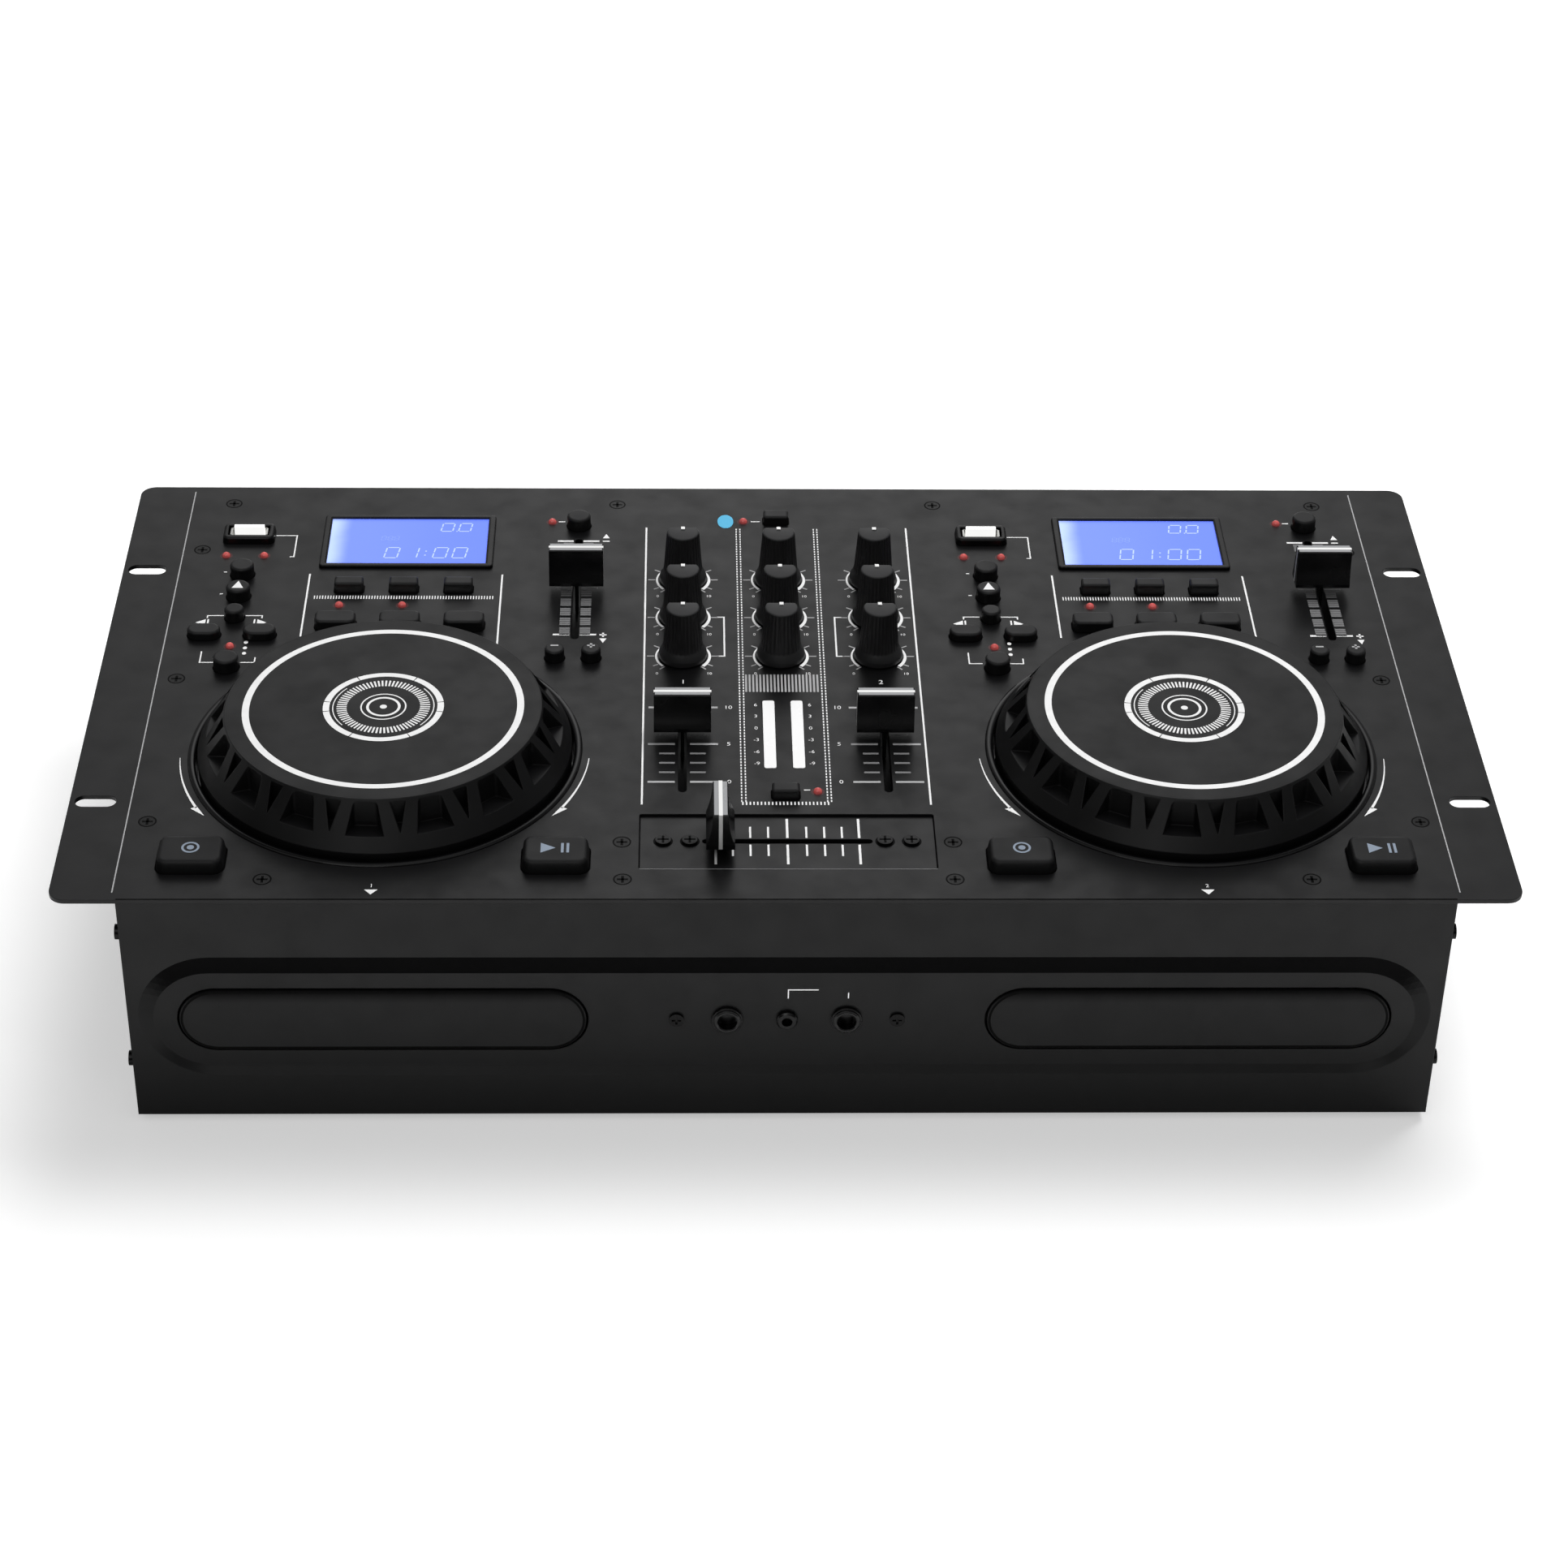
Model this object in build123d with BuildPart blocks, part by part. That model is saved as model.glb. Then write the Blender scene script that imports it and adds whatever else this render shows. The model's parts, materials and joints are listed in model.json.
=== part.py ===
"""Twin disc player console for disc jockeys: two tray players, two jog wheels and a mixer.

Sizes are in millimetres. +X runs to the right along the front, +Y to the back and +Z up.
The origin is on the ground, under the middle of the console's outline.
Places on the top panel are given as (x, v): x from the middle and v from the panel's front edge.
Places on a deck are given as (u, v): u from the middle of that deck's jog wheel.
"""
from dataclasses import dataclass
from math import atan, degrees
import os

from build123d import *

os.makedirs("parts", exist_ok=True)

# ---------------------------------------------------------------- overall sizes
panel_w = 482.6        # width of a 19 inch rack panel
panel_d = 260.0
panel_t = 1.5
panel_corner_r = 5.5
body_h = 92.2          # underside of the case to the top of the panel
foot_h = 3.0
case_w = 439.0
case_d = 254.0         # front edge of the panel to the rear wall's outer face
case_t = 1.2
phono_l = 8.0          # how far the phono shells stand out of the rear wall

# ---------------------------------------------------------------- clearances
gap = 0.3              # between pieces that move past each other
fit = 0.1              # round a fixed piece in its cut-out
shaft_gap = 0.05       # round a turning shaft, on the radius
press = 0.02           # between pieces pressed or soldered together

# ---------------------------------------------------------------- rack slots and panel screws
rack_pitch_x = 465.1
rack_pitch_y = 146.05
rack_mid_v = 127.9
rack_slot_l = 14.0
rack_slot_w = 6.35
screw_r = 1.5
screw_head_r = 2.9
screw_l = 6.0
side_screws = [(213.8, 43.3), (213.8, 128.9), (213.8, 214.9)]
rear_screw_xs = (205.3, 60.0)
rear_screw_in = 6.0    # from the rear wall's face
front_screws = [(172.6, 11.2), (54.7, 11.2)]
mixer_screw = (55.2, 31.8)
recess_w = 0.7         # one bar of the cross in a screw's head
tab_w = 9.0            # folded flange that takes the panel screws
tab_l = 18.0

# ---------------------------------------------------------------- decks
deck_pitch = 274.2
jog_at = (0.0, 85.1)
jog_top_h = 18.0       # above the panel
jog_top_r = 54.0
jog_band_h = 3.0
jog_foot_r = 64.0
jog_foot_drop = 3.0    # the rim's lower edge, under the panel's top
jog_cavity_r = 53.0
jog_deck_t = 4.5       # thickness between the top and the hollow underneath
jog_disc_t = 1.6
jog_disc_edge = 0.6
jog_hub_r = 9.0
jog_shaft_r = 4.0
scoop_count = 16
scoop_turns = {"left": 87.5, "right": 83.75}    # degrees from the X axis to the first scoop
scoop_in = 0.4         # from the top's edge to a scoop's back wall
scoop_back_w = 7.8
scoop_front_w = 15.6   # at the radius of the wheel's foot
scoop_floor_h = 7.6
scoop_corner_r = 1.2
wedge_w = 5.4          # wedge-shaped groove between the ribs of a pair, at its back wall
wedge_l = 6.2
wedge_floor_h = 8.4
encoder_r = 22.0
encoder_t = 0.6

well_clear = 0.9       # round the jog wheel's foot
well_t = 1.1
well_lip_w = 1.6
well_lip_h = 0.8
well_depth = 9.0
well_floor_t = 1.6
bush_r = 10.0
bush_drop = 20.0       # the bush's lower end, under the panel's top
bush_top_drop = 4.0

display_at = (-0.45, 220.2)
display_w = 64.3
display_h = 36.2
display_rim = 2.3
display_frame_h = 1.2
display_corner_r = 1.5
display_edge_r = 0.4
screen_h = 0.4
screen_t = 4.4
skirt_inset = 1.0      # the frame's skirt, inside its outline
skirt_drop = 3.5

usb_at = (-60.1, 224.5)
usb_frame_w = 19.4
usb_frame_d = 11.5
usb_frame_h = 2.7
usb_frame_r = 2.5
usb_frame_edge_r = 0.9
usb_mouth_w = 15.4
usb_mouth_d = 6.8
usb_shell_w = 13.2
usb_shell_d = 5.8
usb_shell_t = 0.4
usb_shell_h = 2.2
usb_lip_w = 0.35       # how far the shell's lips stand out at its sides
usb_lip_l = 4.4
usb_lip_t = 0.5
usb_tongue_h = 3.7     # above the panel
usb_tongue_t = 1.9
usb_tongue_w = 11.2

# ---------------------------------------------------------------- keys
round_key_h = 4.8
small_key_h = 4.5
search_key_h = 3.2
strip_key_h = 4.2
cue_h = 4.5
cue_w = 22.4
cue_d = 16.2
cue_corner_r = 3.6
cue_inset = 0.7        # each side, from the foot to the top
tact_travel = 1.0
cue_travel = 1.5
key_flange_w = 1.0
key_flange_t = 1.0
key_edge_r = 0.9
cue_edge_r = 1.3
key_stem_r = 1.7
switch_w = 6.0
switch_h = 3.5
runner_w = 3.4         # the bar that joins the caps of one strip

# ---------------------------------------------------------------- boards
board_drop = 11.0      # the boards' top face, under the panel's top
board_t = 1.6
deck_board_w = 152.0
deck_board_v = (6.0, 241.0)
deck_board_hole_r = 70.0
mixer_board_w = 117.0
spacer_r = 3.0
deck_spacers = [(-42.0, 199.0), (43.0, 236.0), (-70.0, 112.0), (72.0, 104.0), (0.0, 11.0)]
mixer_spacers = [(52.0, 130.0), (52.0, 236.0)]
power_board = (90.0, 84.0)
power_board_v = 196.0
power_board_lift = 4.8
transformer = (45.0, 38.0, 32.0)

# ---------------------------------------------------------------- faders
cap_l = 19.8           # across the travel
cap_foot_w = 9.6
cap_top_w = 5.2
cap_foot_h = 3.8       # the cap's lower face, above the panel
cap_waist_w = 6.4
cap_waist_h = 11.0
cap_top_h = 17.8
cap_skirt_h = 1.3
cap_edge = 0.4
lever_t = 1.2
lever_l = 6.0          # along the travel
lever_in_cap = 6.0
lever_drop = 8.0
fader_body_w = 9.0
fader_track_w = 3.6
fader_track_h = 7.5
channel_travel = 45.0
channel_slot_l = 56.9
channel_slot_w = 2.9
channel_body_l = 74.0
channel_mid_v = 88.75
channel_x = 35.1
channel_rest = 6.45    # the caps' rest place, behind the middle of their slots
pitch_fader_at = (63.1, 188.9)
pitch_travel = 60.0
pitch_slot_l = 68.3
pitch_body_l = 75.0
cross_v = 33.4
cross_slot_w = 2.6
cross_rest = -22.4

# ---------------------------------------------------------------- crossfader plate, in a pocket of the panel
plate_v = 32.3
plate_w = 98.8
plate_d = 30.5
plate_t = 1.0
plate_corner_r = 0.8
plate_sunk = 0.9       # the plate's face, under the panel's top
plate_panel_screw_x = 41.5
plate_fader_screw_x = 32.6
pan_head_h = 0.9
pan_head_r = 2.6
side_head_h = 2.0

# ---------------------------------------------------------------- knobs
knob_xs = {"left": -35.0, "centre": 0.0, "right": 35.0}
knob_vs = {"upper": 194.7, "middle": 169.2, "lower": 143.8}
knob_h = 21.2
knob_top_r = 5.9
knob_foot_r = 7.3
knob_skirt_r = 8.6
knob_skirt_h = 4.6
knob_skirt_edge = 2.2   # height of the slope from the skirt to the grip
knob_lift = 0.5
knob_ridge = 2.8       # the top's straight edge, behind the axis
knob_slope = 52.0      # degrees that the back falls away
pot_w = 9.6
pot_d = 11.0
pot_top_drop = 4.0
pot_shaft_r = 3.0
pot_shaft_depth = 4.5
knob_bore_h = 14.0

# ---------------------------------------------------------------- lights
led_r = 1.5
meter_w = 4.2
meter_l = 41.1
meter_x = 4.95
meter_v = 94.7
meter_h = 0.25
meter_t = 3.0
deck_leds = [(-67.4, 210.7), (-53.4, 210.7), (-60.0, 149.6), (-23.1, 176.9), (-0.2, 176.9),
             (52.8, 235.1)]
mixer_leds = [(-12.3, 235.8), (10.9, 60.6)]

# ---------------------------------------------------------------- front fascia
fascia_setback = 1.06  # behind the panel's front edge
fascia_t = 1.5
pressing_w = 431.8
pressing_h = 50.3
pressing_drop = 49.75  # the pressing's middle, under the panel's top
pressing_floor_w = 423.0
pressing_floor_h = 39.3
pressing_depth = 2.0
front_line_drop = 52.5  # middle of the trays and jacks, under the panel's top
fascia_fold = 15.0

# ---------------------------------------------------------------- trays
tray_pitch = 269.9
door_w = 135.7
door_h = 25.1
door_t = 5.5
door_proud = 0.5
door_gap = 0.7         # round the tray's front, in the fascia's opening
door_edge_r = 0.6
tray_w = 127.0
tray_l = 156.0
tray_t = 10.0
tray_under = 5.5       # tray's lower face, under the middle of its front
disc_well_r = 60.7
disc_well_depth = 3.0
small_disc_r = 40.8
small_disc_depth = 0.9
disc_front = 4.0       # from the tray's front edge to the disc's place
pickup_slot_w = 37.0
pickup_slot_l = 77.0
pickup_slot_front = 18.0
tray_travel = 132.0

# ---------------------------------------------------------------- tray chassis and spindle
rail_t = 4.0
rail_lip = 2.5
rail_lip_t = 1.8
chassis_t = 2.0
chassis_v = (9.0, 176.0)
chassis_leg_r = 5.0
motor_r = 12.0
motor_h = 7.5
turntable_r = 15.0
turntable_t = 2.0
turntable_drop = 2.6   # the turntable's top, under the tray
cone_r = 7.3
cone_h = 2.0
spindle_shaft_r = 1.0
bridge_w = 22.0
bridge_t = 2.0
puck_r = 15.0
puck_neck_r = 5.0
puck_cap_r = 8.0
puck_cap_t = 1.0
sled_rod_r = 1.5
sled_rod_x = 19.0
sled_rod_v = (92.0, 142.0)
sled_w = 46.0
sled_l = 20.0
sled_h = 8.0
loader_r = 8.0
loader_h = 9.0

# ---------------------------------------------------------------- sockets
jack_x = 20.0
jack_bore_r = 3.25
jack_bush_r = 4.5
jack_nut_r = 5.3
jack_nut_h = 1.8
jack_body = (15.0, 26.0, 15.0)
jack_bore_l = 24.0
mini_bore_r = 1.8
mini_bush_r = 2.8
mini_nut_r = 3.6
mini_body = (11.0, 14.0, 11.0)
mini_bore_l = 12.0
fascia_screw_x = 37.0
phono_shell_r = 4.15
phono_bore_r = 1.7
phono_bore_l = 10.0
phono_base_r = 6.0
phono_base_t = 1.2
phono_body_r = 5.0
phono_body_l = 7.0
phono_pitch = 17.0
phono_mid = (-150.0, 52.0)      # x, and height above the ground
inlet_mid = (120.0, 48.0)
inlet_w = 27.0
inlet_h = 19.8
inlet_flange_w = 1.8
inlet_flange_t = 2.0
inlet_depth = 16.0
inlet_mouth_w = 24.4
inlet_mouth_h = 16.6
inlet_pin = (2.0, 13.0, 4.0)
inlet_pin_x = 7.0
inlet_pin_lift = 3.8
rocker_mid = (168.0, 48.0)
rocker_frame_w = 24.0
rocker_frame_h = 17.0
rocker_frame_t = 1.5
rocker_body_w = 20.6
rocker_body_h = 14.2
rocker_body_l = 12.0
rocker_mouth_w = 17.2
rocker_mouth_h = 11.2
rocker_w = 16.6
rocker_half_h = 4.5
rocker_out = 5.0       # how far its face stands from the pivot
rocker_dish = 3.9
rocker_in = 2.2
rocker_tilt = 10.0
rocker_pin_r = 1.0
rocker_pin_l = 0.9
rocker_pivot_in = 3.0
vent_count = 12
vent_w = 2.5
vent_h = 22.0
vent_pitch = 6.5
vent_mid = (0.0, 50.0)

foot_r = 9.0
foot_top_r = 8.0
foot_x = 185.0
foot_v = (28.0, 226.0)

# ---------------------------------------------------------------- derived places
overall_d = case_d + phono_l
front_y = -overall_d / 2
panel_z = foot_h + body_h
under_z = panel_z - panel_t
floor_z = foot_h + case_t
rear_y = front_y + case_d
board_z = panel_z - board_drop
fascia_y = front_y + fascia_setback
fascia_back_y = fascia_y + fascia_t
pressing_y = fascia_y + pressing_depth
front_line_z = panel_z - front_line_drop
door_y = pressing_y - door_proud
tray_y = door_y + door_t
tray_z = front_line_z - tray_under
tray_top_z = tray_z + tray_t
case_in_w = case_w - 2 * case_t
deck_xs = {"left": -deck_pitch / 2, "right": deck_pitch / 2}
tray_xs = {"left": -tray_pitch / 2, "right": tray_pitch / 2}
disc_y = tray_y + disc_front + disc_well_r
well_in_r = jog_foot_r + well_clear
well_out_r = well_in_r + well_t
pocket_z = panel_z - plate_sunk - plate_t
rear_screws = [(x, case_d - rear_screw_in) for x in rear_screw_xs]
turntable_z = tray_z - turntable_drop
motor_top_z = turntable_z - turntable_t - gap
chassis_top_z = motor_top_z - motor_h
chassis_z = chassis_top_z - chassis_t
rail_in = tray_w / 2 + gap
rail_top_z = tray_top_z + gap + rail_lip_t


def on_panel(x, v):
    """A place on the panel, in the shared frame."""
    return (x, front_y + v)


def on_deck(deck_x, place):
    """A place on a deck, in the shared frame."""
    return (deck_x + place[0], front_y + place[1])


def mirrored(places):
    """Places on the panel's right half, with their mirror images."""
    return [on_panel(side * x, v) for x, v in places for side in (-1, 1)]


def facing(direction, x, y, z):
    """A plane that faces the front, the back, the left or the right."""
    normal = {"front": (0, -1, 0), "back": (0, 1, 0), "left": (-1, 0, 0), "right": (1, 0, 0)}[direction]
    across = {"front": (1, 0, 0), "back": (-1, 0, 0), "left": (0, -1, 0), "right": (0, 1, 0)}[direction]
    return Plane(origin=(x, y, z), x_dir=across, z_dir=normal)


def block(x, y, z, mode=Mode.ADD):
    """A box between two limits on each axis, in the current part."""
    with Locations(((x[0] + x[1]) / 2, (y[0] + y[1]) / 2, (z[0] + z[1]) / 2)):
        Box(x[1] - x[0], y[1] - y[0], z[1] - z[0], mode=mode)


def post(places, z, radius, mode=Mode.ADD):
    """Upright cylinders at places (x, y), between two heights."""
    with Locations(*[(x, y, z[0]) for x, y in places]):
        Cylinder(radius, z[1] - z[0], align=(Align.CENTER, Align.CENTER, Align.MIN), mode=mode)


def save(sub_part, node):
    """Label a finished piece and write it under its node's name."""
    sub_part.part.label = node
    export_step(sub_part.part, f"parts/{node}.step")


# ---------------------------------------------------------------- keys and their places
@dataclass
class Key:
    """A key or a strip of keys that move together."""

    places: list
    outline: Sketch
    flange: Sketch
    height: float
    travel: float
    draft: float = 0.0


def round_key(radius, height, *places):
    return Key(list(places), Circle(radius), Circle(radius + key_flange_w), height, tact_travel)


def square_key(width, depth, corner_r, height, *places):
    flange = RectangleRounded(width + 2 * key_flange_w, depth + 2 * key_flange_w, corner_r)
    return Key(list(places), RectangleRounded(width, depth, corner_r), flange, height, tact_travel)


def oval_key(width, depth, height, *places):
    flange = SlotOverall(width + 2 * key_flange_w, depth + 2 * key_flange_w)
    return Key(list(places), SlotOverall(width, depth), flange, height, tact_travel)


def cue_key(place):
    """A large key whose sides draw in towards the top."""
    flange = RectangleRounded(cue_w + 2 * key_flange_w, cue_d + 2 * key_flange_w, cue_corner_r)
    draft = degrees(atan(cue_inset / cue_h))
    return Key([place], RectangleRounded(cue_w, cue_d, cue_corner_r), flange, cue_h, cue_travel, draft)


def in_a_row(middle, pitch, count):
    """Places in a row along X, about a middle place."""
    return [(middle[0] + (i - (count - 1) / 2) * pitch, middle[1]) for i in range(count)]


deck_keys = {
    "cue_button": cue_key((-59.8, 22.1)),
    "play_button": cue_key((60.2, 22.1)),
    "select_button": round_key(4.35, round_key_h, (-60.1, 197.6)),
    "eject_button": round_key(4.35, round_key_h, (-60.1, 182.7)),
    "track_button": round_key(3.5, small_key_h, (-60.1, 168.3)),
    "search_keys": oval_key(11.8, 7.2, search_key_h, *in_a_row((-60.0, 156.9), 19.9, 2)),
    "jog_mode_button": round_key(4.5, round_key_h, (-59.9, 136.2)),
    "pitch_button": round_key(4.4, round_key_h, (62.9, 232.6)),
    "pitch_bend_keys": round_key(3.5, small_key_h, *in_a_row((62.8, 142.4), 13.0, 2)),
    "program_keys": square_key(10.5, 5.4, 0.9, strip_key_h, *in_a_row((-0.2, 187.8), 20.0, 3)),
    "loop_keys": square_key(14.6, 8.0, 2.4, strip_key_h, *in_a_row((-0.2, 163.6), 23.2, 3)),
}
mixer_keys = {
    "wireless_button": square_key(9.4, 5.6, 0.9, 3.6, (0.0, 236.2)),
    "relay_button": square_key(9.4, 5.6, 0.9, 3.6, (0.0, 58.9)),
}


def cut_keys(keys, origin_x):
    """Draw the openings for a set of keys in the current sketch."""
    for key in keys.values():
        opening = offset(key.outline, amount=gap, mode=Mode.PRIVATE)
        with Locations(*[on_deck(origin_x, place) for place in key.places]):
            add(opening)


# ---------------------------------------------------------------- top panel
with BuildPart() as top_panel:
    with BuildSketch(Plane.XY.offset(under_z)):
        with Locations(on_panel(0, panel_d / 2)):
            RectangleRounded(panel_w, panel_d, panel_corner_r)
    extrude(amount=panel_t)
    with BuildSketch(Plane.XY.offset(under_z)):
        with Locations(on_panel(0, rack_mid_v)):
            with GridLocations(rack_pitch_x, rack_pitch_y, 2, 2):
                SlotOverall(rack_slot_l, rack_slot_w)
        for deck_x in deck_xs.values():
            with Locations(on_deck(deck_x, jog_at)):
                Circle(well_out_r + 2 * fit)
            with Locations(on_deck(deck_x, display_at)):
                Rectangle(display_w - 2 * skirt_inset + 2 * fit, display_h - 2 * skirt_inset + 2 * fit)
            with Locations(on_deck(deck_x, usb_at)):
                Rectangle(usb_frame_w - 2 * skirt_inset + 2 * fit, usb_frame_d - 2 * skirt_inset + 2 * fit)
            with Locations(on_deck(deck_x, pitch_fader_at)):
                SlotOverall(pitch_slot_l, channel_slot_w, rotation=90)
            with Locations(*[on_deck(deck_x, place) for place in deck_leds]):
                Circle(led_r + fit)
            cut_keys(deck_keys, deck_x)
        with Locations(*mirrored([(channel_x, channel_mid_v)])):
            SlotOverall(channel_slot_l, channel_slot_w, rotation=90)
        with Locations(*mirrored([(meter_x, meter_v)])):
            RectangleRounded(meter_w + 2 * fit, meter_l + 2 * fit, 1.0)
        with Locations(*[on_panel(*place) for place in mixer_leds]):
            Circle(led_r + fit)
        with Locations(*[on_panel(x, v) for x in knob_xs.values() for v in knob_vs.values()]):
            Circle(pot_shaft_r + 0.7)
        cut_keys(mixer_keys, 0)
    extrude(amount=panel_t, mode=Mode.SUBTRACT)
    with BuildSketch(Plane.XY.offset(pocket_z - panel_t)):
        with Locations(on_panel(0, plate_v)):
            pocket_grow = 2 * (fit + panel_t)
            RectangleRounded(plate_w + pocket_grow, plate_d + pocket_grow, plate_corner_r + panel_t)
    extrude(amount=panel_z - pocket_z)
    with BuildSketch(Plane.XY.offset(pocket_z)):
        with Locations(on_panel(0, plate_v)):
            RectangleRounded(plate_w + 2 * fit, plate_d + 2 * fit, plate_corner_r)
    extrude(amount=panel_z - pocket_z, mode=Mode.SUBTRACT)
    with BuildSketch(Plane.XY.offset(pocket_z - panel_t)):
        with Locations(on_panel(0, cross_v)):
            SlotOverall(channel_slot_l + 2, cross_slot_w + 2)
        with Locations(*mirrored([(plate_fader_screw_x, cross_v), (plate_panel_screw_x, cross_v)])):
            Circle(screw_r + fit)
    extrude(amount=panel_t, mode=Mode.SUBTRACT)
    panel_screw_places = mirrored(side_screws + rear_screws + front_screws + [mixer_screw])
    with Locations(*[(x, y, panel_z) for x, y in panel_screw_places]):
        CounterSinkHole(screw_r + fit, screw_head_r + fit, depth=panel_t, counter_sink_angle=90)
save(top_panel, "top_panel")

# ---------------------------------------------------------------- front fascia
fascia_z = (foot_h, under_z)
side_screw_v = 6.5
side_screw_drops = (18.0, 71.8)
with BuildPart() as front_fascia:
    block((-case_w / 2, case_w / 2), (fascia_y, fascia_back_y), fascia_z)
    for grow, start in ((2.0, 0.0), (0.0, 0.0)):
        back = fascia_t if grow else 0.0
        with BuildSketch(facing("front", 0, fascia_y + back / 2 + start, panel_z - pressing_drop)):
            SlotOverall(pressing_w + grow, pressing_h + grow)
        with BuildSketch(facing("front", 0, pressing_y + back, front_line_z)):
            SlotOverall(pressing_floor_w + grow, pressing_floor_h + grow)
        loft(mode=Mode.ADD if grow else Mode.SUBTRACT)
    with BuildSketch(facing("front", 0, pressing_y, front_line_z)):
        with Locations(*[(x, 0) for x in tray_xs.values()]):
            SlotOverall(door_w + 2 * door_gap, door_h + 2 * door_gap)
        with Locations((-jack_x, 0), (jack_x, 0)):
            Circle(jack_bush_r + fit)
        Circle(mini_bush_r + fit)
        with Locations((-fascia_screw_x, 0), (fascia_screw_x, 0)):
            Circle(screw_r + fit)
    extrude(amount=-2 * fascia_t, both=True, mode=Mode.SUBTRACT)
    for side in (-1, 1):
        edge = sorted((side * (case_in_w / 2 - fascia_t), side * case_in_w / 2))
        block(edge, (fascia_back_y, front_y + fascia_fold + 3), (foot_h + 2 * case_t, under_z - 2 * case_t))
        for x, _ in front_screws:
            block((side * x - tab_w, side * x + tab_w), (fascia_back_y, front_y + fascia_fold),
                  (under_z - fascia_t, under_z))
    for drop in side_screw_drops:
        with Locations(facing("right", 0, front_y + side_screw_v, panel_z - drop).location):
            Cylinder(screw_r + fit, case_w, mode=Mode.SUBTRACT)
    with Locations(*[(x, y, under_z) for x, y in mirrored(front_screws)]):
        Cylinder(screw_r + fit, 4 * fascia_t, mode=Mode.SUBTRACT)
save(front_fascia, "front_fascia")

# ---------------------------------------------------------------- case: floor, sides and rear wall
with BuildPart() as case_tub:
    block((-case_w / 2, case_w / 2), (fascia_back_y, rear_y), (foot_h, under_z))
    block((-case_in_w / 2, case_in_w / 2), (fascia_back_y, rear_y - case_t), (floor_z, under_z), Mode.SUBTRACT)
    for side in (-1, 1):
        for x, v in side_screws:
            block(sorted((side * (case_in_w / 2 - tab_w), side * case_in_w / 2)),
                  (front_y + v - tab_l / 2, front_y + v + tab_l / 2), (under_z - case_t, under_z))
    block((-case_in_w / 2, case_in_w / 2), (rear_y - case_t - tab_w, rear_y - case_t),
          (under_z - case_t, under_z))
    with Locations(*[(x, y, under_z) for x, y in mirrored(side_screws + rear_screws)]):
        Cylinder(screw_r + fit, 4 * case_t, mode=Mode.SUBTRACT)
    for drop in side_screw_drops:
        with Locations(facing("right", 0, front_y + side_screw_v, panel_z - drop).location):
            Cylinder(screw_r + fit, 2 * case_w, mode=Mode.SUBTRACT)
    with BuildSketch(facing("back", 0, rear_y, 0)):
        with Locations((-phono_mid[0], phono_mid[1])):
            with GridLocations(phono_pitch, phono_pitch, 2, 2):
                Circle(phono_body_r + fit)
        with Locations((-inlet_mid[0], inlet_mid[1])):
            Rectangle(inlet_w + 2 * fit, inlet_h + 2 * fit)
        with Locations((-rocker_mid[0], rocker_mid[1])):
            Rectangle(rocker_body_w + 2 * fit, rocker_body_h + 2 * fit)
        with Locations(vent_mid):
            with GridLocations(vent_pitch, 1, vent_count, 1):
                SlotOverall(vent_h, vent_w, rotation=90)
    extrude(amount=-2 * case_t, mode=Mode.SUBTRACT)
save(case_tub, "case_tub")

with BuildPart() as rubber_feet:
    with Locations(*[(side * foot_x, front_y + v, 0) for side in (-1, 1) for v in foot_v]):
        Cone(foot_top_r, foot_r, foot_h, align=(Align.CENTER, Align.CENTER, Align.MIN))
save(rubber_feet, "rubber_feet")

# ---------------------------------------------------------------- jog wheels and their wells
with BuildPart() as jog_wells:
    for deck_x in deck_xs.values():
        x, y = on_deck(deck_x, jog_at)
        with BuildSketch(facing("front", x, y, panel_z)):
            with BuildLine():
                Polyline(
                    (well_in_r, well_lip_h),
                    (well_out_r + well_lip_w, well_lip_h),
                    (well_out_r + well_lip_w, 0),
                    (well_out_r, 0),
                    (well_out_r, -well_depth),
                    (bush_r, -well_depth),
                    (bush_r, -bush_drop),
                    (jog_shaft_r + shaft_gap, -bush_drop),
                    (jog_shaft_r + shaft_gap, -bush_top_drop),
                    (bush_r, -bush_top_drop),
                    (bush_r, well_floor_t - well_depth),
                    (well_in_r, well_floor_t - well_depth),
                    close=True,
                )
            make_face()
        revolve(axis=Axis((x, y, 0), (0, 0, 1)))
save(jog_wells, "jog_wells")

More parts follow.
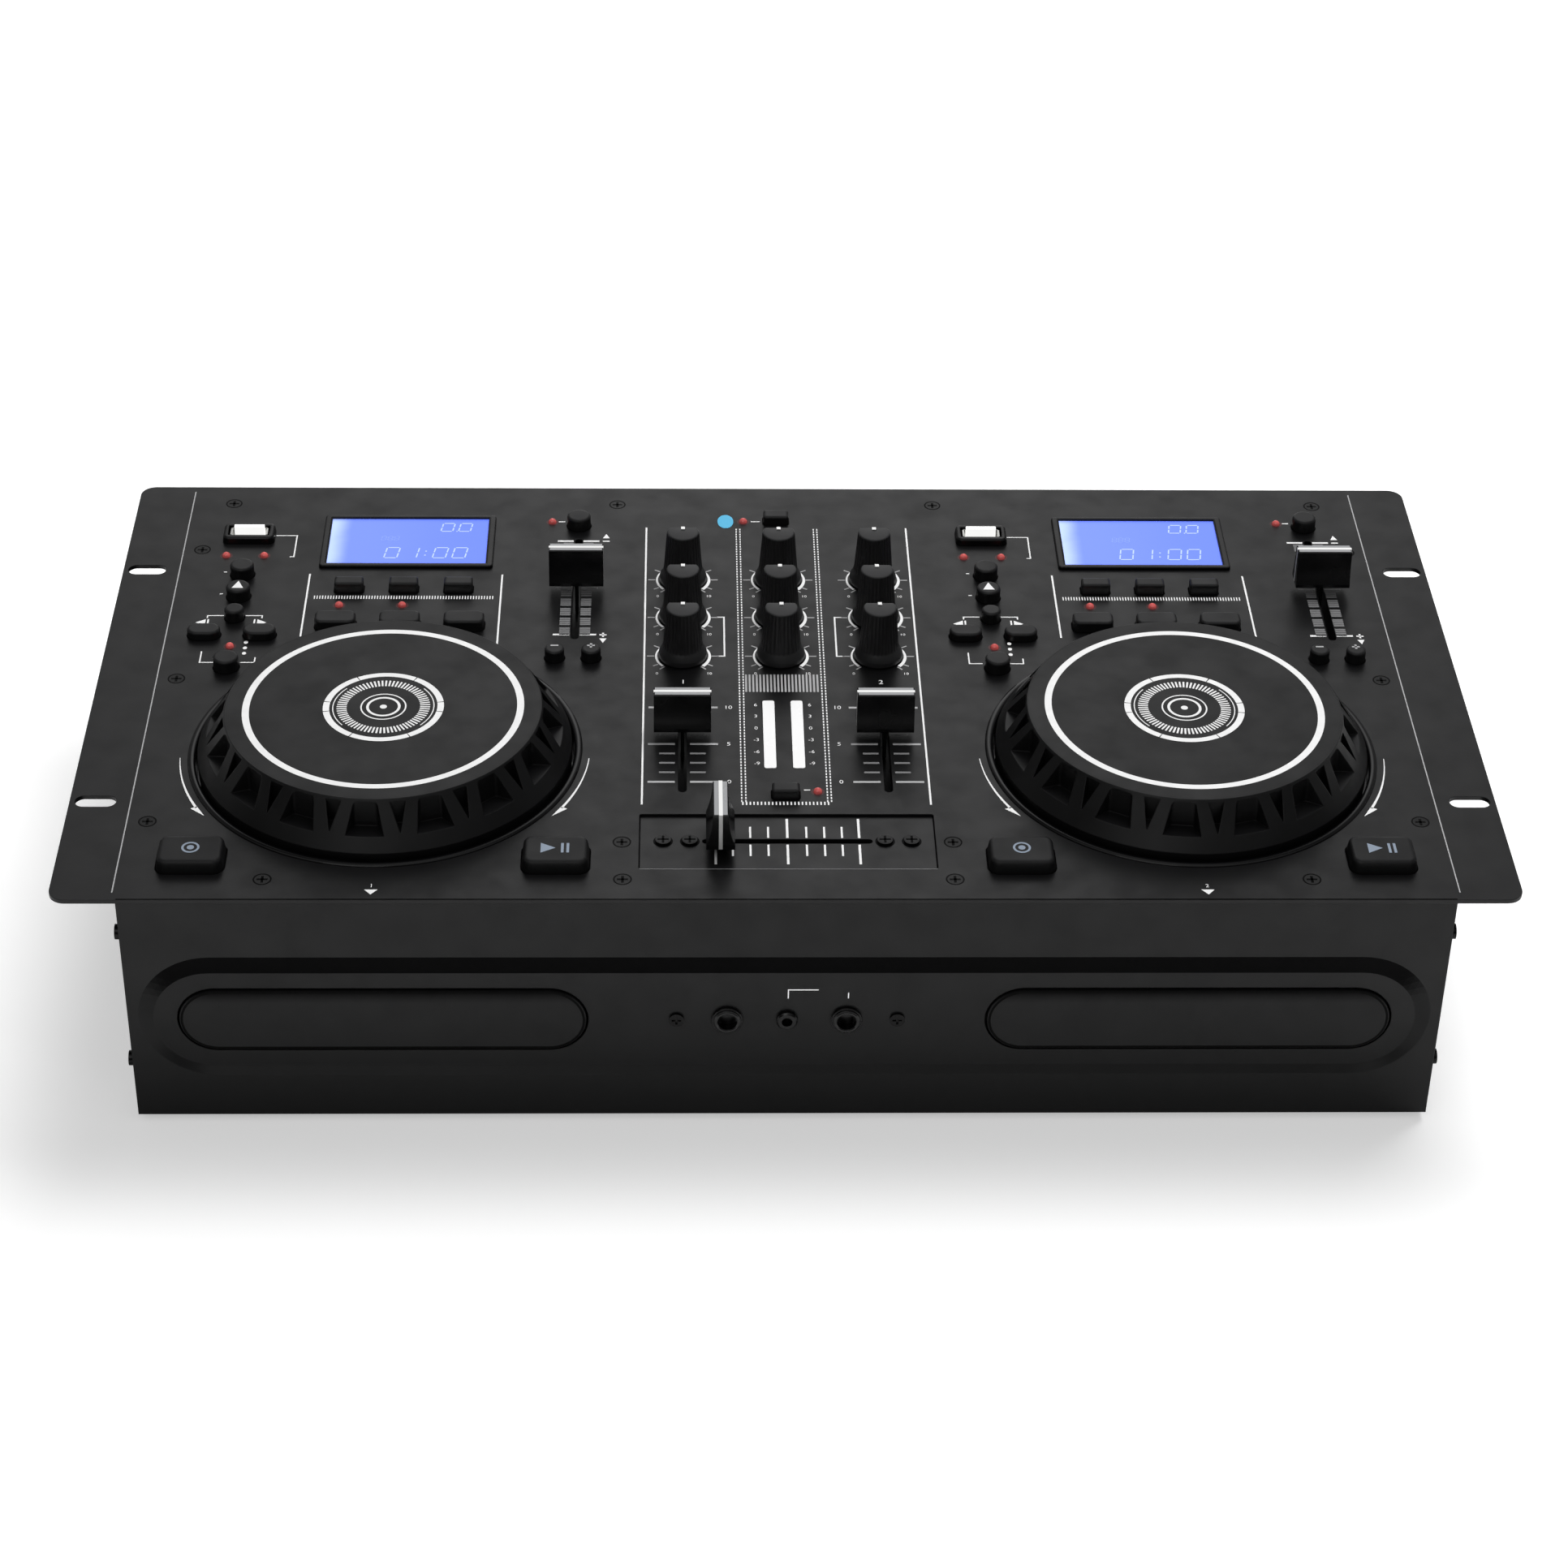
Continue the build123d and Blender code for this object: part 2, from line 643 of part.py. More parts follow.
hub_bore_r = jog_shaft_r + press
disc_seat_h = jog_top_h - jog_disc_t
hollow_h = jog_top_h - jog_deck_t
scoop_back_r = jog_top_r + scoop_in
for side, deck_x in deck_xs.items():
    x, y = on_deck(deck_x, jog_at)
    with BuildPart() as jog_wheel:
        with BuildSketch(facing("front", x, y, panel_z)):
            with BuildLine():
                Polyline(
                    (hub_bore_r, gap - bush_top_drop),
                    (jog_hub_r, gap - bush_top_drop),
                    (jog_hub_r, hollow_h),
                    (jog_cavity_r, hollow_h),
                    (jog_cavity_r, -jog_foot_drop),
                    (jog_foot_r, -jog_foot_drop),
                    (jog_foot_r, jog_band_h),
                    (jog_top_r, jog_top_h),
                    (jog_top_r - jog_disc_edge, jog_top_h),
                    (jog_top_r - jog_disc_edge, disc_seat_h),
                    (hub_bore_r, disc_seat_h),
                    close=True,
                )
            make_face()
        revolve(axis=Axis((x, y, 0), (0, 0, 1)))
        with BuildSketch(Plane.XY.offset(panel_z + scoop_floor_h)) as scoops:
            with Locations((x, y)):
                with PolarLocations(0, scoop_count, start_angle=scoop_turns[side]):
                    Polygon((scoop_back_r, -scoop_back_w / 2), (jog_foot_r, -scoop_front_w / 2),
                            (jog_foot_r, scoop_front_w / 2), (scoop_back_r, scoop_back_w / 2), align=None)
            back_corners = scoops.vertices().sort_by_distance((x, y, 0))[:2 * scoop_count]
            fillet(back_corners, radius=scoop_corner_r)
        extrude(amount=jog_top_h, mode=Mode.SUBTRACT)
        with BuildSketch(Plane.XY.offset(panel_z + wedge_floor_h)):
            with Locations((x, y)):
                with PolarLocations(0, scoop_count, start_angle=scoop_turns[side] + 180 / scoop_count):
                    Polygon((scoop_back_r, -wedge_w / 2), (scoop_back_r + wedge_l, 0),
                            (scoop_back_r, wedge_w / 2), align=None)
        extrude(amount=jog_top_h, mode=Mode.SUBTRACT)
        with Locations((x, y, panel_z + disc_seat_h + press)):
            Cylinder(jog_top_r - jog_disc_edge - press, jog_disc_t - press,
                     align=(Align.CENTER, Align.CENTER, Align.MIN))
        post([(x, y)], (panel_z - bush_drop - 2 - encoder_t, panel_z + disc_seat_h - press), jog_shaft_r)
        with BuildSketch(Plane.XY.offset(panel_z - bush_drop - 1 - encoder_t)):
            with Locations((x, y)):
                Circle(encoder_r)
                Circle(hub_bore_r, mode=Mode.SUBTRACT)
        extrude(amount=encoder_t)
    save(jog_wheel, f"jog_wheel_{side}")

# ---------------------------------------------------------------- frames in and round the panel
with BuildPart() as panel_bezels:
    for deck_x in deck_xs.values():
        for place, width, depth, corner_r, edge_r, rise, mouth in (
            (display_at, display_w, display_h, display_corner_r, display_edge_r, display_frame_h,
             (display_w - 2 * display_rim, display_h - 2 * display_rim + 1)),
            (usb_at, usb_frame_w, usb_frame_d, usb_frame_r, usb_frame_edge_r, usb_frame_h,
             (usb_mouth_w, usb_mouth_d)),
        ):
            with BuildSketch(Plane.XY.offset(panel_z)):
                with Locations(on_deck(deck_x, place)):
                    RectangleRounded(width, depth, corner_r)
            extrude(amount=rise, taper=8)
            frame_top = panel_bezels.faces().sort_by_distance((*on_deck(deck_x, place), panel_z + rise))[0]
            fillet(frame_top.edges(), radius=edge_r)
            with BuildSketch(Plane.XY.offset(panel_z)):
                with Locations(on_deck(deck_x, place)):
                    Rectangle(width - 2 * skirt_inset, depth - 2 * skirt_inset)
            extrude(amount=-skirt_drop)
            with BuildSketch(Plane.XY.offset(panel_z - skirt_drop)):
                with Locations(on_deck(deck_x, place)):
                    Rectangle(*mouth)
            extrude(amount=skirt_drop + rise, mode=Mode.SUBTRACT)
    frame_plane = facing("back", rocker_mid[0], rear_y, rocker_mid[1])
    with BuildSketch(frame_plane):
        RectangleRounded(rocker_frame_w, rocker_frame_h, 1.5)
    extrude(amount=rocker_frame_t)
    with BuildSketch(frame_plane):
        Rectangle(rocker_body_w, rocker_body_h)
    extrude(amount=-rocker_body_l)
    with BuildSketch(frame_plane.offset(rocker_frame_t)):
        Rectangle(rocker_mouth_w, rocker_mouth_h)
    extrude(amount=-rocker_body_l, mode=Mode.SUBTRACT)
    with Locations(facing("right", rocker_mid[0], rear_y - rocker_pivot_in, rocker_mid[1]).location):
        Cylinder(rocker_pin_r + shaft_gap, rocker_mouth_w + 2 * rocker_pin_l + 2 * gap, mode=Mode.SUBTRACT)
save(panel_bezels, "panel_bezels")

with BuildPart() as power_switch:
    with BuildSketch(facing("right", rocker_mid[0] - rocker_w / 2, rear_y - rocker_pivot_in, rocker_mid[1])):
        with BuildLine(mode=Mode.PRIVATE) as rocker_line:
            Polyline(
                (-rocker_in, rocker_half_h - 1.5),
                (rocker_out, rocker_half_h),
                (rocker_dish, 0),
                (rocker_out, -rocker_half_h),
                (-rocker_in, 1.5 - rocker_half_h),
                close=True,
            )
        add(make_face(rocker_line.edges(), mode=Mode.PRIVATE), rotation=rocker_tilt)
    extrude(amount=rocker_w)
    with Locations(facing("right", rocker_mid[0], rear_y - rocker_pivot_in, rocker_mid[1]).location):
        Cylinder(rocker_pin_r, rocker_mouth_w + 2 * rocker_pin_l)
save(power_switch, "power_switch")

# ---------------------------------------------------------------- screens, meters and lights
screen_inset = display_rim + 2 * fit
with BuildPart() as display_windows:
    with BuildSketch(Plane.XY.offset(panel_z + screen_h - screen_t)):
        for deck_x in deck_xs.values():
            with Locations(on_deck(deck_x, display_at)):
                Rectangle(display_w - 2 * screen_inset, display_h - 2 * screen_inset + 1)
    extrude(amount=screen_t)
    with BuildSketch(Plane.XY.offset(panel_z + meter_h - meter_t)):
        with Locations(*mirrored([(meter_x, meter_v)])):
            RectangleRounded(meter_w, meter_l, 0.9)
    extrude(amount=meter_t)
save(display_windows, "display_windows")

led_places = [on_deck(deck_x, place) for deck_x in deck_xs.values() for place in deck_leds]
led_places += [on_panel(*place) for place in mixer_leds]
with BuildPart() as indicator_leds:
    post(led_places, (board_z + press, panel_z), led_r)
    with Locations(*[(x, y, panel_z) for x, y in led_places]):
        Sphere(led_r)
save(indicator_leds, "indicator_leds")

# ---------------------------------------------------------------- crossfader plate
with BuildPart() as crossfader_plate:
    with BuildSketch(Plane.XY.offset(pocket_z)):
        with Locations(on_panel(0, plate_v)):
            RectangleRounded(plate_w, plate_d, plate_corner_r)
        with Locations(on_panel(0, cross_v)):
            SlotOverall(channel_slot_l, cross_slot_w, mode=Mode.SUBTRACT)
        with Locations(*mirrored([(plate_fader_screw_x, cross_v), (plate_panel_screw_x, cross_v)])):
            Circle(screw_r + fit, mode=Mode.SUBTRACT)
    extrude(amount=plate_t)
    chamfer(crossfader_plate.faces().sort_by(Axis.Z)[-1].outer_wire().edges(), length=0.25)
save(crossfader_plate, "crossfader_plate")

# ---------------------------------------------------------------- screws
pan_screw_planes = [
    Plane.XY.offset(panel_z - plate_sunk).move(Location((side * x, front_y + cross_v, 0)))
    for x in (plate_fader_screw_x, plate_panel_screw_x) for side in (-1, 1)
]
pan_screw_planes += [facing("front", side * fascia_screw_x, pressing_y, front_line_z) for side in (-1, 1)]
side_screw_planes = [
    facing(name, side * case_w / 2, front_y + side_screw_v, panel_z - drop)
    for name, side in (("left", -1), ("right", 1)) for drop in side_screw_drops
]
with BuildPart() as panel_screws:
    with Locations(*[(x, y, panel_z) for x, y in panel_screw_places]):
        Cone(screw_r, screw_head_r, screw_head_r - screw_r, align=(Align.CENTER, Align.CENTER, Align.MAX))
        Cylinder(screw_r, screw_l, align=(Align.CENTER, Align.CENTER, Align.MAX))
        Box(screw_head_r + 0.6, recess_w, 1.6, mode=Mode.SUBTRACT)
        Box(recess_w, screw_head_r + 0.6, 1.6, mode=Mode.SUBTRACT)
    for planes, head_h in ((pan_screw_planes, pan_head_h), (side_screw_planes, side_head_h)):
        with Locations(*[plane.location for plane in planes]):
            Cylinder(pan_head_r, head_h, align=(Align.CENTER, Align.CENTER, Align.MIN))
            Cylinder(screw_r, screw_l, align=(Align.CENTER, Align.CENTER, Align.MAX))
            with Locations((0, 0, head_h)):
                Box(pan_head_r + 0.6, recess_w, 1.2, mode=Mode.SUBTRACT)
                Box(recess_w, pan_head_r + 0.6, 1.2, mode=Mode.SUBTRACT)
save(panel_screws, "panel_screws")


# ---------------------------------------------------------------- keys
def make_keys(node, origin_x, key):
    """Caps above the panel, with the flange that keeps them in and the stems on their switches."""
    places = [on_deck(origin_x, place) for place in key.places]
    flange_top = under_z - gap
    straight = panel_z - flange_top if key.draft else panel_z + key.height - flange_top
    with BuildPart() as keys:
        with BuildSketch(Plane.XY.offset(flange_top)):
            with Locations(*places):
                add(key.outline)
        extrude(amount=straight)
        if key.draft:
            with BuildSketch(Plane.XY.offset(panel_z)):
                with Locations(*places):
                    add(key.outline)
            extrude(amount=key.height, taper=key.draft)
        top_edges = keys.faces().filter_by(Axis.Z).group_by(Axis.Z)[-1].edges()
        fillet(top_edges, radius=cue_edge_r if key.draft else key_edge_r)
        with BuildSketch(Plane.XY.offset(flange_top - key_flange_t)):
            with Locations(*places):
                add(key.flange)
            if len(places) > 1:
                span = places[-1][0] - places[0][0]
                with Locations(((places[0][0] + places[-1][0]) / 2, places[0][1])):
                    Rectangle(span, runner_w)
        extrude(amount=key_flange_t)
        stem_z = board_z + press + switch_h + key.travel + gap
        post(places, (stem_z, flange_top - key_flange_t), key_stem_r)
    save(keys, node)


for side, deck_x in deck_xs.items():
    for name, key in deck_keys.items():
        make_keys(f"{name}_{side}", deck_x, key)
for name, key in mixer_keys.items():
    make_keys(name, 0, key)


# ---------------------------------------------------------------- faders
def make_fader(node, place, across, along, lift=0.0):
    """A fader cap on its metal lever. The cap is longest across the travel."""
    x, y = place
    with BuildPart() as fader:
        cap_plane = Plane(origin=(x, y, panel_z + lift), x_dir=along, z_dir=across)
        with BuildSketch(cap_plane.offset(-cap_l / 2)):
            with BuildLine():
                skirt_top = cap_foot_h + cap_skirt_h
                Polyline((cap_foot_w / 2, skirt_top), (cap_foot_w / 2, cap_foot_h),
                         (-cap_foot_w / 2, cap_foot_h), (-cap_foot_w / 2, skirt_top))
                ThreePointArc((-cap_foot_w / 2, skirt_top), (-cap_waist_w / 2, cap_waist_h),
                              (-cap_top_w / 2, cap_top_h))
                Line((-cap_top_w / 2, cap_top_h), (cap_top_w / 2, cap_top_h))
                ThreePointArc((cap_top_w / 2, cap_top_h), (cap_waist_w / 2, cap_waist_h),
                              (cap_foot_w / 2, skirt_top))
            make_face()
        extrude(amount=cap_l)
        chamfer(fader.faces().filter_by(Axis.Z).sort_by(Axis.Z)[-1].edges(), length=cap_edge)
        lever_plane = Plane(origin=(x, y, panel_z + lift + cap_foot_h), x_dir=along, z_dir=(0, 0, 1))
        with BuildSketch(lever_plane):
            Rectangle(lever_l + 2 * press, lever_t + 2 * press)
        extrude(amount=lever_in_cap + press, mode=Mode.SUBTRACT)
        with BuildSketch(lever_plane.offset(lever_in_cap)):
            Rectangle(lever_l, lever_t)
        extrude(amount=-(lever_in_cap + cap_foot_h + lift + lever_drop))
    save(fader, node)


for side, deck_x in deck_xs.items():
    make_fader(f"pitch_fader_{side}", on_deck(deck_x, pitch_fader_at), (1, 0, 0), (0, 1, 0))
for side, x in (("left", -channel_x), ("right", channel_x)):
    make_fader(f"channel_fader_{side}", on_panel(x, channel_mid_v + channel_rest), (1, 0, 0), (0, 1, 0))
make_fader("crossfader", on_panel(cross_rest, cross_v), (0, -1, 0), (1, 0, 0), -plate_sunk)

# ---------------------------------------------------------------- knobs
for row, v in knob_vs.items():
    for column, x in knob_xs.items():
        knob_x, knob_y = on_panel(x, v)
        with BuildPart() as knob:
            with BuildSketch(facing("front", knob_x, knob_y, panel_z)):
                with BuildLine():
                    Polyline(
                        (0, knob_lift),
                        (knob_skirt_r, knob_lift),
                        (knob_skirt_r, knob_skirt_h - knob_skirt_edge),
                        (knob_foot_r, knob_skirt_h),
                        (knob_top_r, knob_h),
                        (0, knob_h),
                        close=True,
                    )
                make_face()
            revolve(axis=Axis((knob_x, knob_y, 0), (0, 0, 1)))
            ridge = Plane(origin=(knob_x, knob_y + knob_ridge, panel_z + knob_h), x_dir=(1, 0, 0),
                          z_dir=(0, 0, 1)).rotated((-knob_slope, 0, 0))
            with BuildSketch(ridge):
                with Locations((0, knob_h / 2)):
                    Rectangle(4 * knob_skirt_r, knob_h)
            extrude(amount=knob_h, mode=Mode.SUBTRACT)
            post([(knob_x, knob_y)], (panel_z + knob_lift, panel_z + knob_bore_h),
                 pot_shaft_r + press, Mode.SUBTRACT)
            post([(knob_x, knob_y)], (panel_z - pot_top_drop - pot_shaft_depth,
                                      panel_z + knob_bore_h - press), pot_shaft_r)
        save(knob, f"knob_{column}_{row}")

# ---------------------------------------------------------------- disc trays
for side, tray_x in tray_xs.items():
    with BuildPart() as tray_front:
        with BuildSketch(facing("front", tray_x, tray_y, front_line_z)):
            SlotOverall(door_w, door_h)
        extrude(amount=door_t)
        fillet(tray_front.faces().sort_by(Axis.Y)[0].edges(), radius=door_edge_r)
    save(tray_front, f"tray_front_{side}")

    with BuildPart() as disc_tray:
        block((tray_x - tray_w / 2, tray_x + tray_w / 2), (tray_y, tray_y + tray_l), (tray_z, tray_top_z))
        post([(tray_x, disc_y)], (tray_top_z - disc_well_depth, tray_top_z), disc_well_r, Mode.SUBTRACT)
        post([(tray_x, disc_y)], (tray_top_z - disc_well_depth - small_disc_depth, tray_top_z),
             small_disc_r, Mode.SUBTRACT)
        with BuildSketch(Plane.XY.offset(tray_z)):
            with Locations((tray_x, disc_y - pickup_slot_front + pickup_slot_l / 2)):
                RectangleRounded(pickup_slot_w, pickup_slot_l, pickup_slot_w / 2 - 0.5)
        extrude(amount=tray_t, mode=Mode.SUBTRACT)
        fillet(disc_tray.edges().filter_by(Axis.Z).group_by(Axis.Y)[-1], radius=6)
    save(disc_tray, f"disc_tray_{side}")

# ---------------------------------------------------------------- tray chassis and spindle
sled_z = chassis_top_z + 3
with BuildPart() as disc_drives:
    for tray_x in tray_xs.values():
        chassis_y = (front_y + chassis_v[0], front_y + chassis_v[1])
        block((tray_x - rail_in - rail_t, tray_x + rail_in + rail_t), chassis_y, (chassis_z, chassis_top_z))
        for side in (-1, 1):
            wall_x = sorted((tray_x + side * rail_in, tray_x + side * (rail_in + rail_t)))
            lip_x = sorted((tray_x + side * (rail_in - rail_lip), tray_x + side * rail_in))
            block(wall_x, chassis_y, (chassis_top_z, rail_top_z))
            block(lip_x, chassis_y, (tray_top_z + gap, rail_top_z))
            block(lip_x, chassis_y, (tray_z - gap - rail_lip_t, tray_z - gap))
        block((tray_x - rail_in - rail_t, tray_x + rail_in + rail_t),
              (disc_y - bridge_w / 2, disc_y + bridge_w / 2), (rail_top_z, rail_top_z + bridge_t))
        post([(tray_x, disc_y)], (rail_top_z, rail_top_z + bridge_t), puck_neck_r + gap, Mode.SUBTRACT)
        legs = [(tray_x + side * (rail_in - 10), y + inset)
                for side in (-1, 1) for y, inset in ((chassis_y[0], 20), (chassis_y[1], -20))]
        post(legs, (floor_z, chassis_z), chassis_leg_r)
        for x in (tray_x - sled_rod_x, tray_x + sled_rod_x):
            for v in sled_rod_v:
                block((x - 3, x + 3), (front_y + v - 2, front_y + v + 2), (chassis_top_z, sled_z + 4))
            with Locations(facing("front", x, front_y + sum(sled_rod_v) / 2, sled_z).location):
                Cylinder(sled_rod_r + press, sled_rod_v[1] - sled_rod_v[0] + 2, mode=Mode.SUBTRACT)
    for tray_x in tray_xs.values():
        puck_z = (tray_top_z + gap, rail_top_z - gap)
        post([(tray_x, disc_y)], puck_z, puck_r)
        post([(tray_x, disc_y)], (puck_z[1], rail_top_z + bridge_t + gap), puck_neck_r)
        post([(tray_x, disc_y)], (rail_top_z + bridge_t + gap, rail_top_z + bridge_t + gap + puck_cap_t),
             puck_cap_r)
        for x in (tray_x - sled_rod_x, tray_x + sled_rod_x):
            with Locations(facing("front", x, front_y + sum(sled_rod_v) / 2, sled_z).location):
                Cylinder(sled_rod_r, sled_rod_v[1] - sled_rod_v[0])
        sled_y = front_y + sum(sled_rod_v) / 2
        with BuildSketch(facing("front", tray_x, sled_y + sled_l / 2, sled_z)):
            Rectangle(sled_w, 2 * sled_rod_r + 2)
            with Locations((-sled_rod_x, 0), (sled_rod_x, 0)):
                Circle(sled_rod_r + shaft_gap, mode=Mode.SUBTRACT)
        extrude(amount=sled_l)
        post([(tray_x, sled_y)], (sled_z + 2, sled_z + sled_h - 2), 4)
        post([(tray_x, disc_y)], (chassis_top_z + press, motor_top_z), motor_r)
        post([(tray_x, disc_y)], (chassis_top_z + press, motor_top_z), spindle_shaft_r + shaft_gap, Mode.SUBTRACT)
        post([(tray_x - 45, front_y + 32)], (chassis_top_z + press, chassis_top_z + loader_h), loader_r)
save(disc_drives, "disc_drives")

for side, tray_x in tray_xs.items():
    with BuildPart() as spindle:
        post([(tray_x, disc_y)], (turntable_z - turntable_t, turntable_z), turntable_r)
        with Locations((tray_x, disc_y, turntable_z)):
            Cone(cone_r, cone_r - 2, cone_h, align=(Align.CENTER, Align.CENTER, Align.MIN))
        post([(tray_x, disc_y)], (chassis_top_z + 1, turntable_z - turntable_t), spindle_shaft_r)
    save(spindle, f"spindle_{side}")

# ---------------------------------------------------------------- circuit boards and what is soldered to them
switch_places = [on_deck(deck_x, place) for deck_x in deck_xs.values()
                 for key in deck_keys.values() for place in key.places]
switch_places += [on_panel(*place) for key in mixer_keys.values() for place in key.places]
fader_bodies = [(on_deck(deck_x, pitch_fader_at), pitch_body_l, pitch_slot_l, 90, under_z)
                for deck_x in deck_xs.values()]
fader_bodies += [(on_panel(x, channel_mid_v), channel_body_l, channel_slot_l, 90, under_z)
                 for x in (-channel_x, channel_x)]
fader_bodies.append((on_panel(0, cross_v), channel_body_l, channel_slot_l, 0, pocket_z - panel_t))
with BuildPart() as circuit_boards:
    board_v = (front_y + deck_board_v[0], front_y + deck_board_v[1])
    for deck_x in deck_xs.values():
        block((deck_x - deck_board_w / 2, deck_x + deck_board_w / 2), board_v, (board_z - board_t, board_z))
        post([on_deck(deck_x, jog_at)], (board_z - board_t, board_z), deck_board_hole_r, Mode.SUBTRACT)
        post([on_deck(deck_x, place) for place in deck_spacers], (board_z, under_z), spacer_r)
        x, y = on_deck(deck_x, display_at)
        block((x - display_w / 2 + 5, x + display_w / 2 - 5), (y - display_h / 2 + 5, y + display_h / 2 - 5),
              (board_z, panel_z + screen_h - screen_t))
    block((-mixer_board_w / 2, mixer_board_w / 2), board_v, (board_z - board_t, board_z))
    post(mirrored(mixer_spacers + [mixer_screw]), (board_z, under_z), spacer_r)
    post(mirrored([mixer_screw]), (board_z, under_z), screw_r + fit, Mode.SUBTRACT)
    for side in (-1, 1):
        x = side * meter_x
        y = front_y + meter_v
        block((x - meter_w / 2, x + meter_w / 2), (y - meter_l / 2, y + meter_l / 2),
              (board_z, panel_z + meter_h - meter_t))
    with BuildSketch(Plane.XY.offset(board_z + press)):
        with Locations(*switch_places):
            Rectangle(switch_w, switch_w)
    extrude(amount=switch_h)
    pot_places = [on_panel(x, v) for x in knob_xs.values() for v in knob_vs.values()]
    with BuildSketch(Plane.XY.offset(board_z + press)):
        with Locations(*pot_places):
            Rectangle(pot_w, pot_d)
    extrude(amount=board_drop - pot_top_drop - press)
    post(pot_places, (panel_z - pot_top_drop - pot_shaft_depth - 0.5, panel_z - pot_top_drop),
         pot_shaft_r + shaft_gap, Mode.SUBTRACT)
    for place, body_l, slot_l, turn, top_z in fader_bodies:
        with BuildSketch(Plane.XY.offset(board_z + press)):
            with Locations(place):
                Rectangle(body_l, fader_body_w, rotation=turn)
        extrude(amount=top_z - board_z - press)
        with BuildSketch(Plane.XY.offset(under_z - fader_track_h)):
            with Locations(place):
                Rectangle(slot_l + 2, fader_track_w, rotation=turn)
        extrude(amount=fader_track_h, mode=Mode.SUBTRACT)
    post(mirrored([(plate_fader_screw_x, cross_v)]), (board_z + 2, under_z), screw_r + fit, Mode.SUBTRACT)
    power_y = front_y + power_board_v
    power_z = floor_z + power_board_lift
    power_x = (-power_board[0] / 2, power_board[0] / 2)
    block(power_x, (power_y - power_board[1] / 2, power_y + power_board[1] / 2), (power_z, power_z + board_t))
    post([(x * 0.88, power_y + y) for x in power_x for y in (-36, 36)], (floor_z, power_z), spacer_r)
    block((-transformer[0] / 2, transformer[0] / 2), (power_y - transformer[1] / 2, power_y + transformer[1] / 2),
          (power_z + board_t, power_z + board_t + transformer[2]))
save(circuit_boards, "circuit_boards")

# ---------------------------------------------------------------- sockets
with BuildPart() as panel_sockets:
    for x, body, bush_size, nut_size, bore_size, bore_l in (
        (-jack_x, jack_body, jack_bush_r, jack_nut_r, jack_bore_r, jack_bore_l),
        (jack_x, jack_body, jack_bush_r, jack_nut_r, jack_bore_r, jack_bore_l),
        (0, mini_body, mini_bush_r, mini_nut_r, mini_bore_r, mini_bore_l),
    ):
        wall_y = pressing_y + fascia_t
        block((x - body[0] / 2, x + body[0] / 2), (wall_y, wall_y + body[1]),
              (front_line_z - body[2] / 2, front_line_z + body[2] / 2))
        socket_plane = facing("front", x, pressing_y, front_line_z)
        with Locations(socket_plane.location):
            Cylinder(nut_size, jack_nut_h, align=(Align.CENTER, Align.CENTER, Align.MIN))
            Cylinder(bush_size, fascia_t, align=(Align.CENTER, Align.CENTER, Align.MAX))
        with Locations(socket_plane.offset(jack_nut_h).location):
            Cylinder(bore_size, bore_l, align=(Align.CENTER, Align.CENTER, Align.MAX), mode=Mode.SUBTRACT)
    for deck_x in deck_xs.values():
        x, y = on_deck(deck_x, usb_at)
        shell_z = (board_z + press, panel_z + usb_shell_h)
        block((x - usb_shell_w / 2, x + usb_shell_w / 2), (y - usb_shell_d / 2, y + usb_shell_d / 2), shell_z)
        inner_w = usb_shell_w - 2 * usb_shell_t
        inner_d = usb_shell_d - 2 * usb_shell_t
        block((x - inner_w / 2, x + inner_w / 2), (y - inner_d / 2, y + inner_d / 2),
              (shell_z[0] + 1, shell_z[1]), Mode.SUBTRACT)
        for lip_side in (-1, 1):
            lip_x = sorted((x + lip_side * inner_w / 2, x + lip_side * (usb_shell_w / 2 + usb_lip_w)))
            block(lip_x, (y - usb_lip_l / 2, y + usb_lip_l / 2), (shell_z[1] - usb_lip_t, shell_z[1]))
        block((x - usb_tongue_w / 2, x + usb_tongue_w / 2), (y + inner_d / 2 - usb_tongue_t, y + inner_d / 2),
              (shell_z[0] + 1, panel_z + usb_tongue_h))
    phono_x, phono_z = phono_mid
    for x in (phono_x - phono_pitch / 2, phono_x + phono_pitch / 2):
        for z in (phono_z - phono_pitch / 2, phono_z + phono_pitch / 2):
            phono_plane = facing("back", x, rear_y, z)
            with Locations(phono_plane.location):
                Cylinder(phono_body_r, phono_body_l, align=(Align.CENTER, Align.CENTER, Align.MAX))
                Cylinder(phono_base_r, phono_base_t, align=(Align.CENTER, Align.CENTER, Align.MIN))
                Cylinder(phono_shell_r, phono_l, align=(Align.CENTER, Align.CENTER, Align.MIN))
            with Locations(phono_plane.offset(phono_l).location):
                Cylinder(phono_bore_r, phono_bore_l, align=(Align.CENTER, Align.CENTER, Align.MAX),
                         mode=Mode.SUBTRACT)
    inlet_plane = facing("back", inlet_mid[0], rear_y, inlet_mid[1])
    with BuildSketch(inlet_plane):
        RectangleRounded(inlet_w + 2 * inlet_flange_w, inlet_h + 2 * inlet_flange_w, 2)
    extrude(amount=inlet_flange_t)
    with BuildSketch(inlet_plane):
        Rectangle(inlet_w, inlet_h)
    extrude(amount=-inlet_depth)
    with BuildSketch(inlet_plane.offset(inlet_flange_t)):
        Rectangle(inlet_mouth_w, inlet_mouth_h)
    extrude(amount=-inlet_depth, mode=Mode.SUBTRACT)
    with BuildSketch(inlet_plane.offset(inlet_flange_t - inlet_depth)):
        with Locations((-inlet_pin_x, inlet_pin_lift / 2), (0, inlet_pin_lift), (inlet_pin_x, inlet_pin_lift / 2)):
            Rectangle(inlet_pin[0], inlet_pin[2])
    extrude(amount=inlet_pin[1])
save(panel_sockets, "panel_sockets")
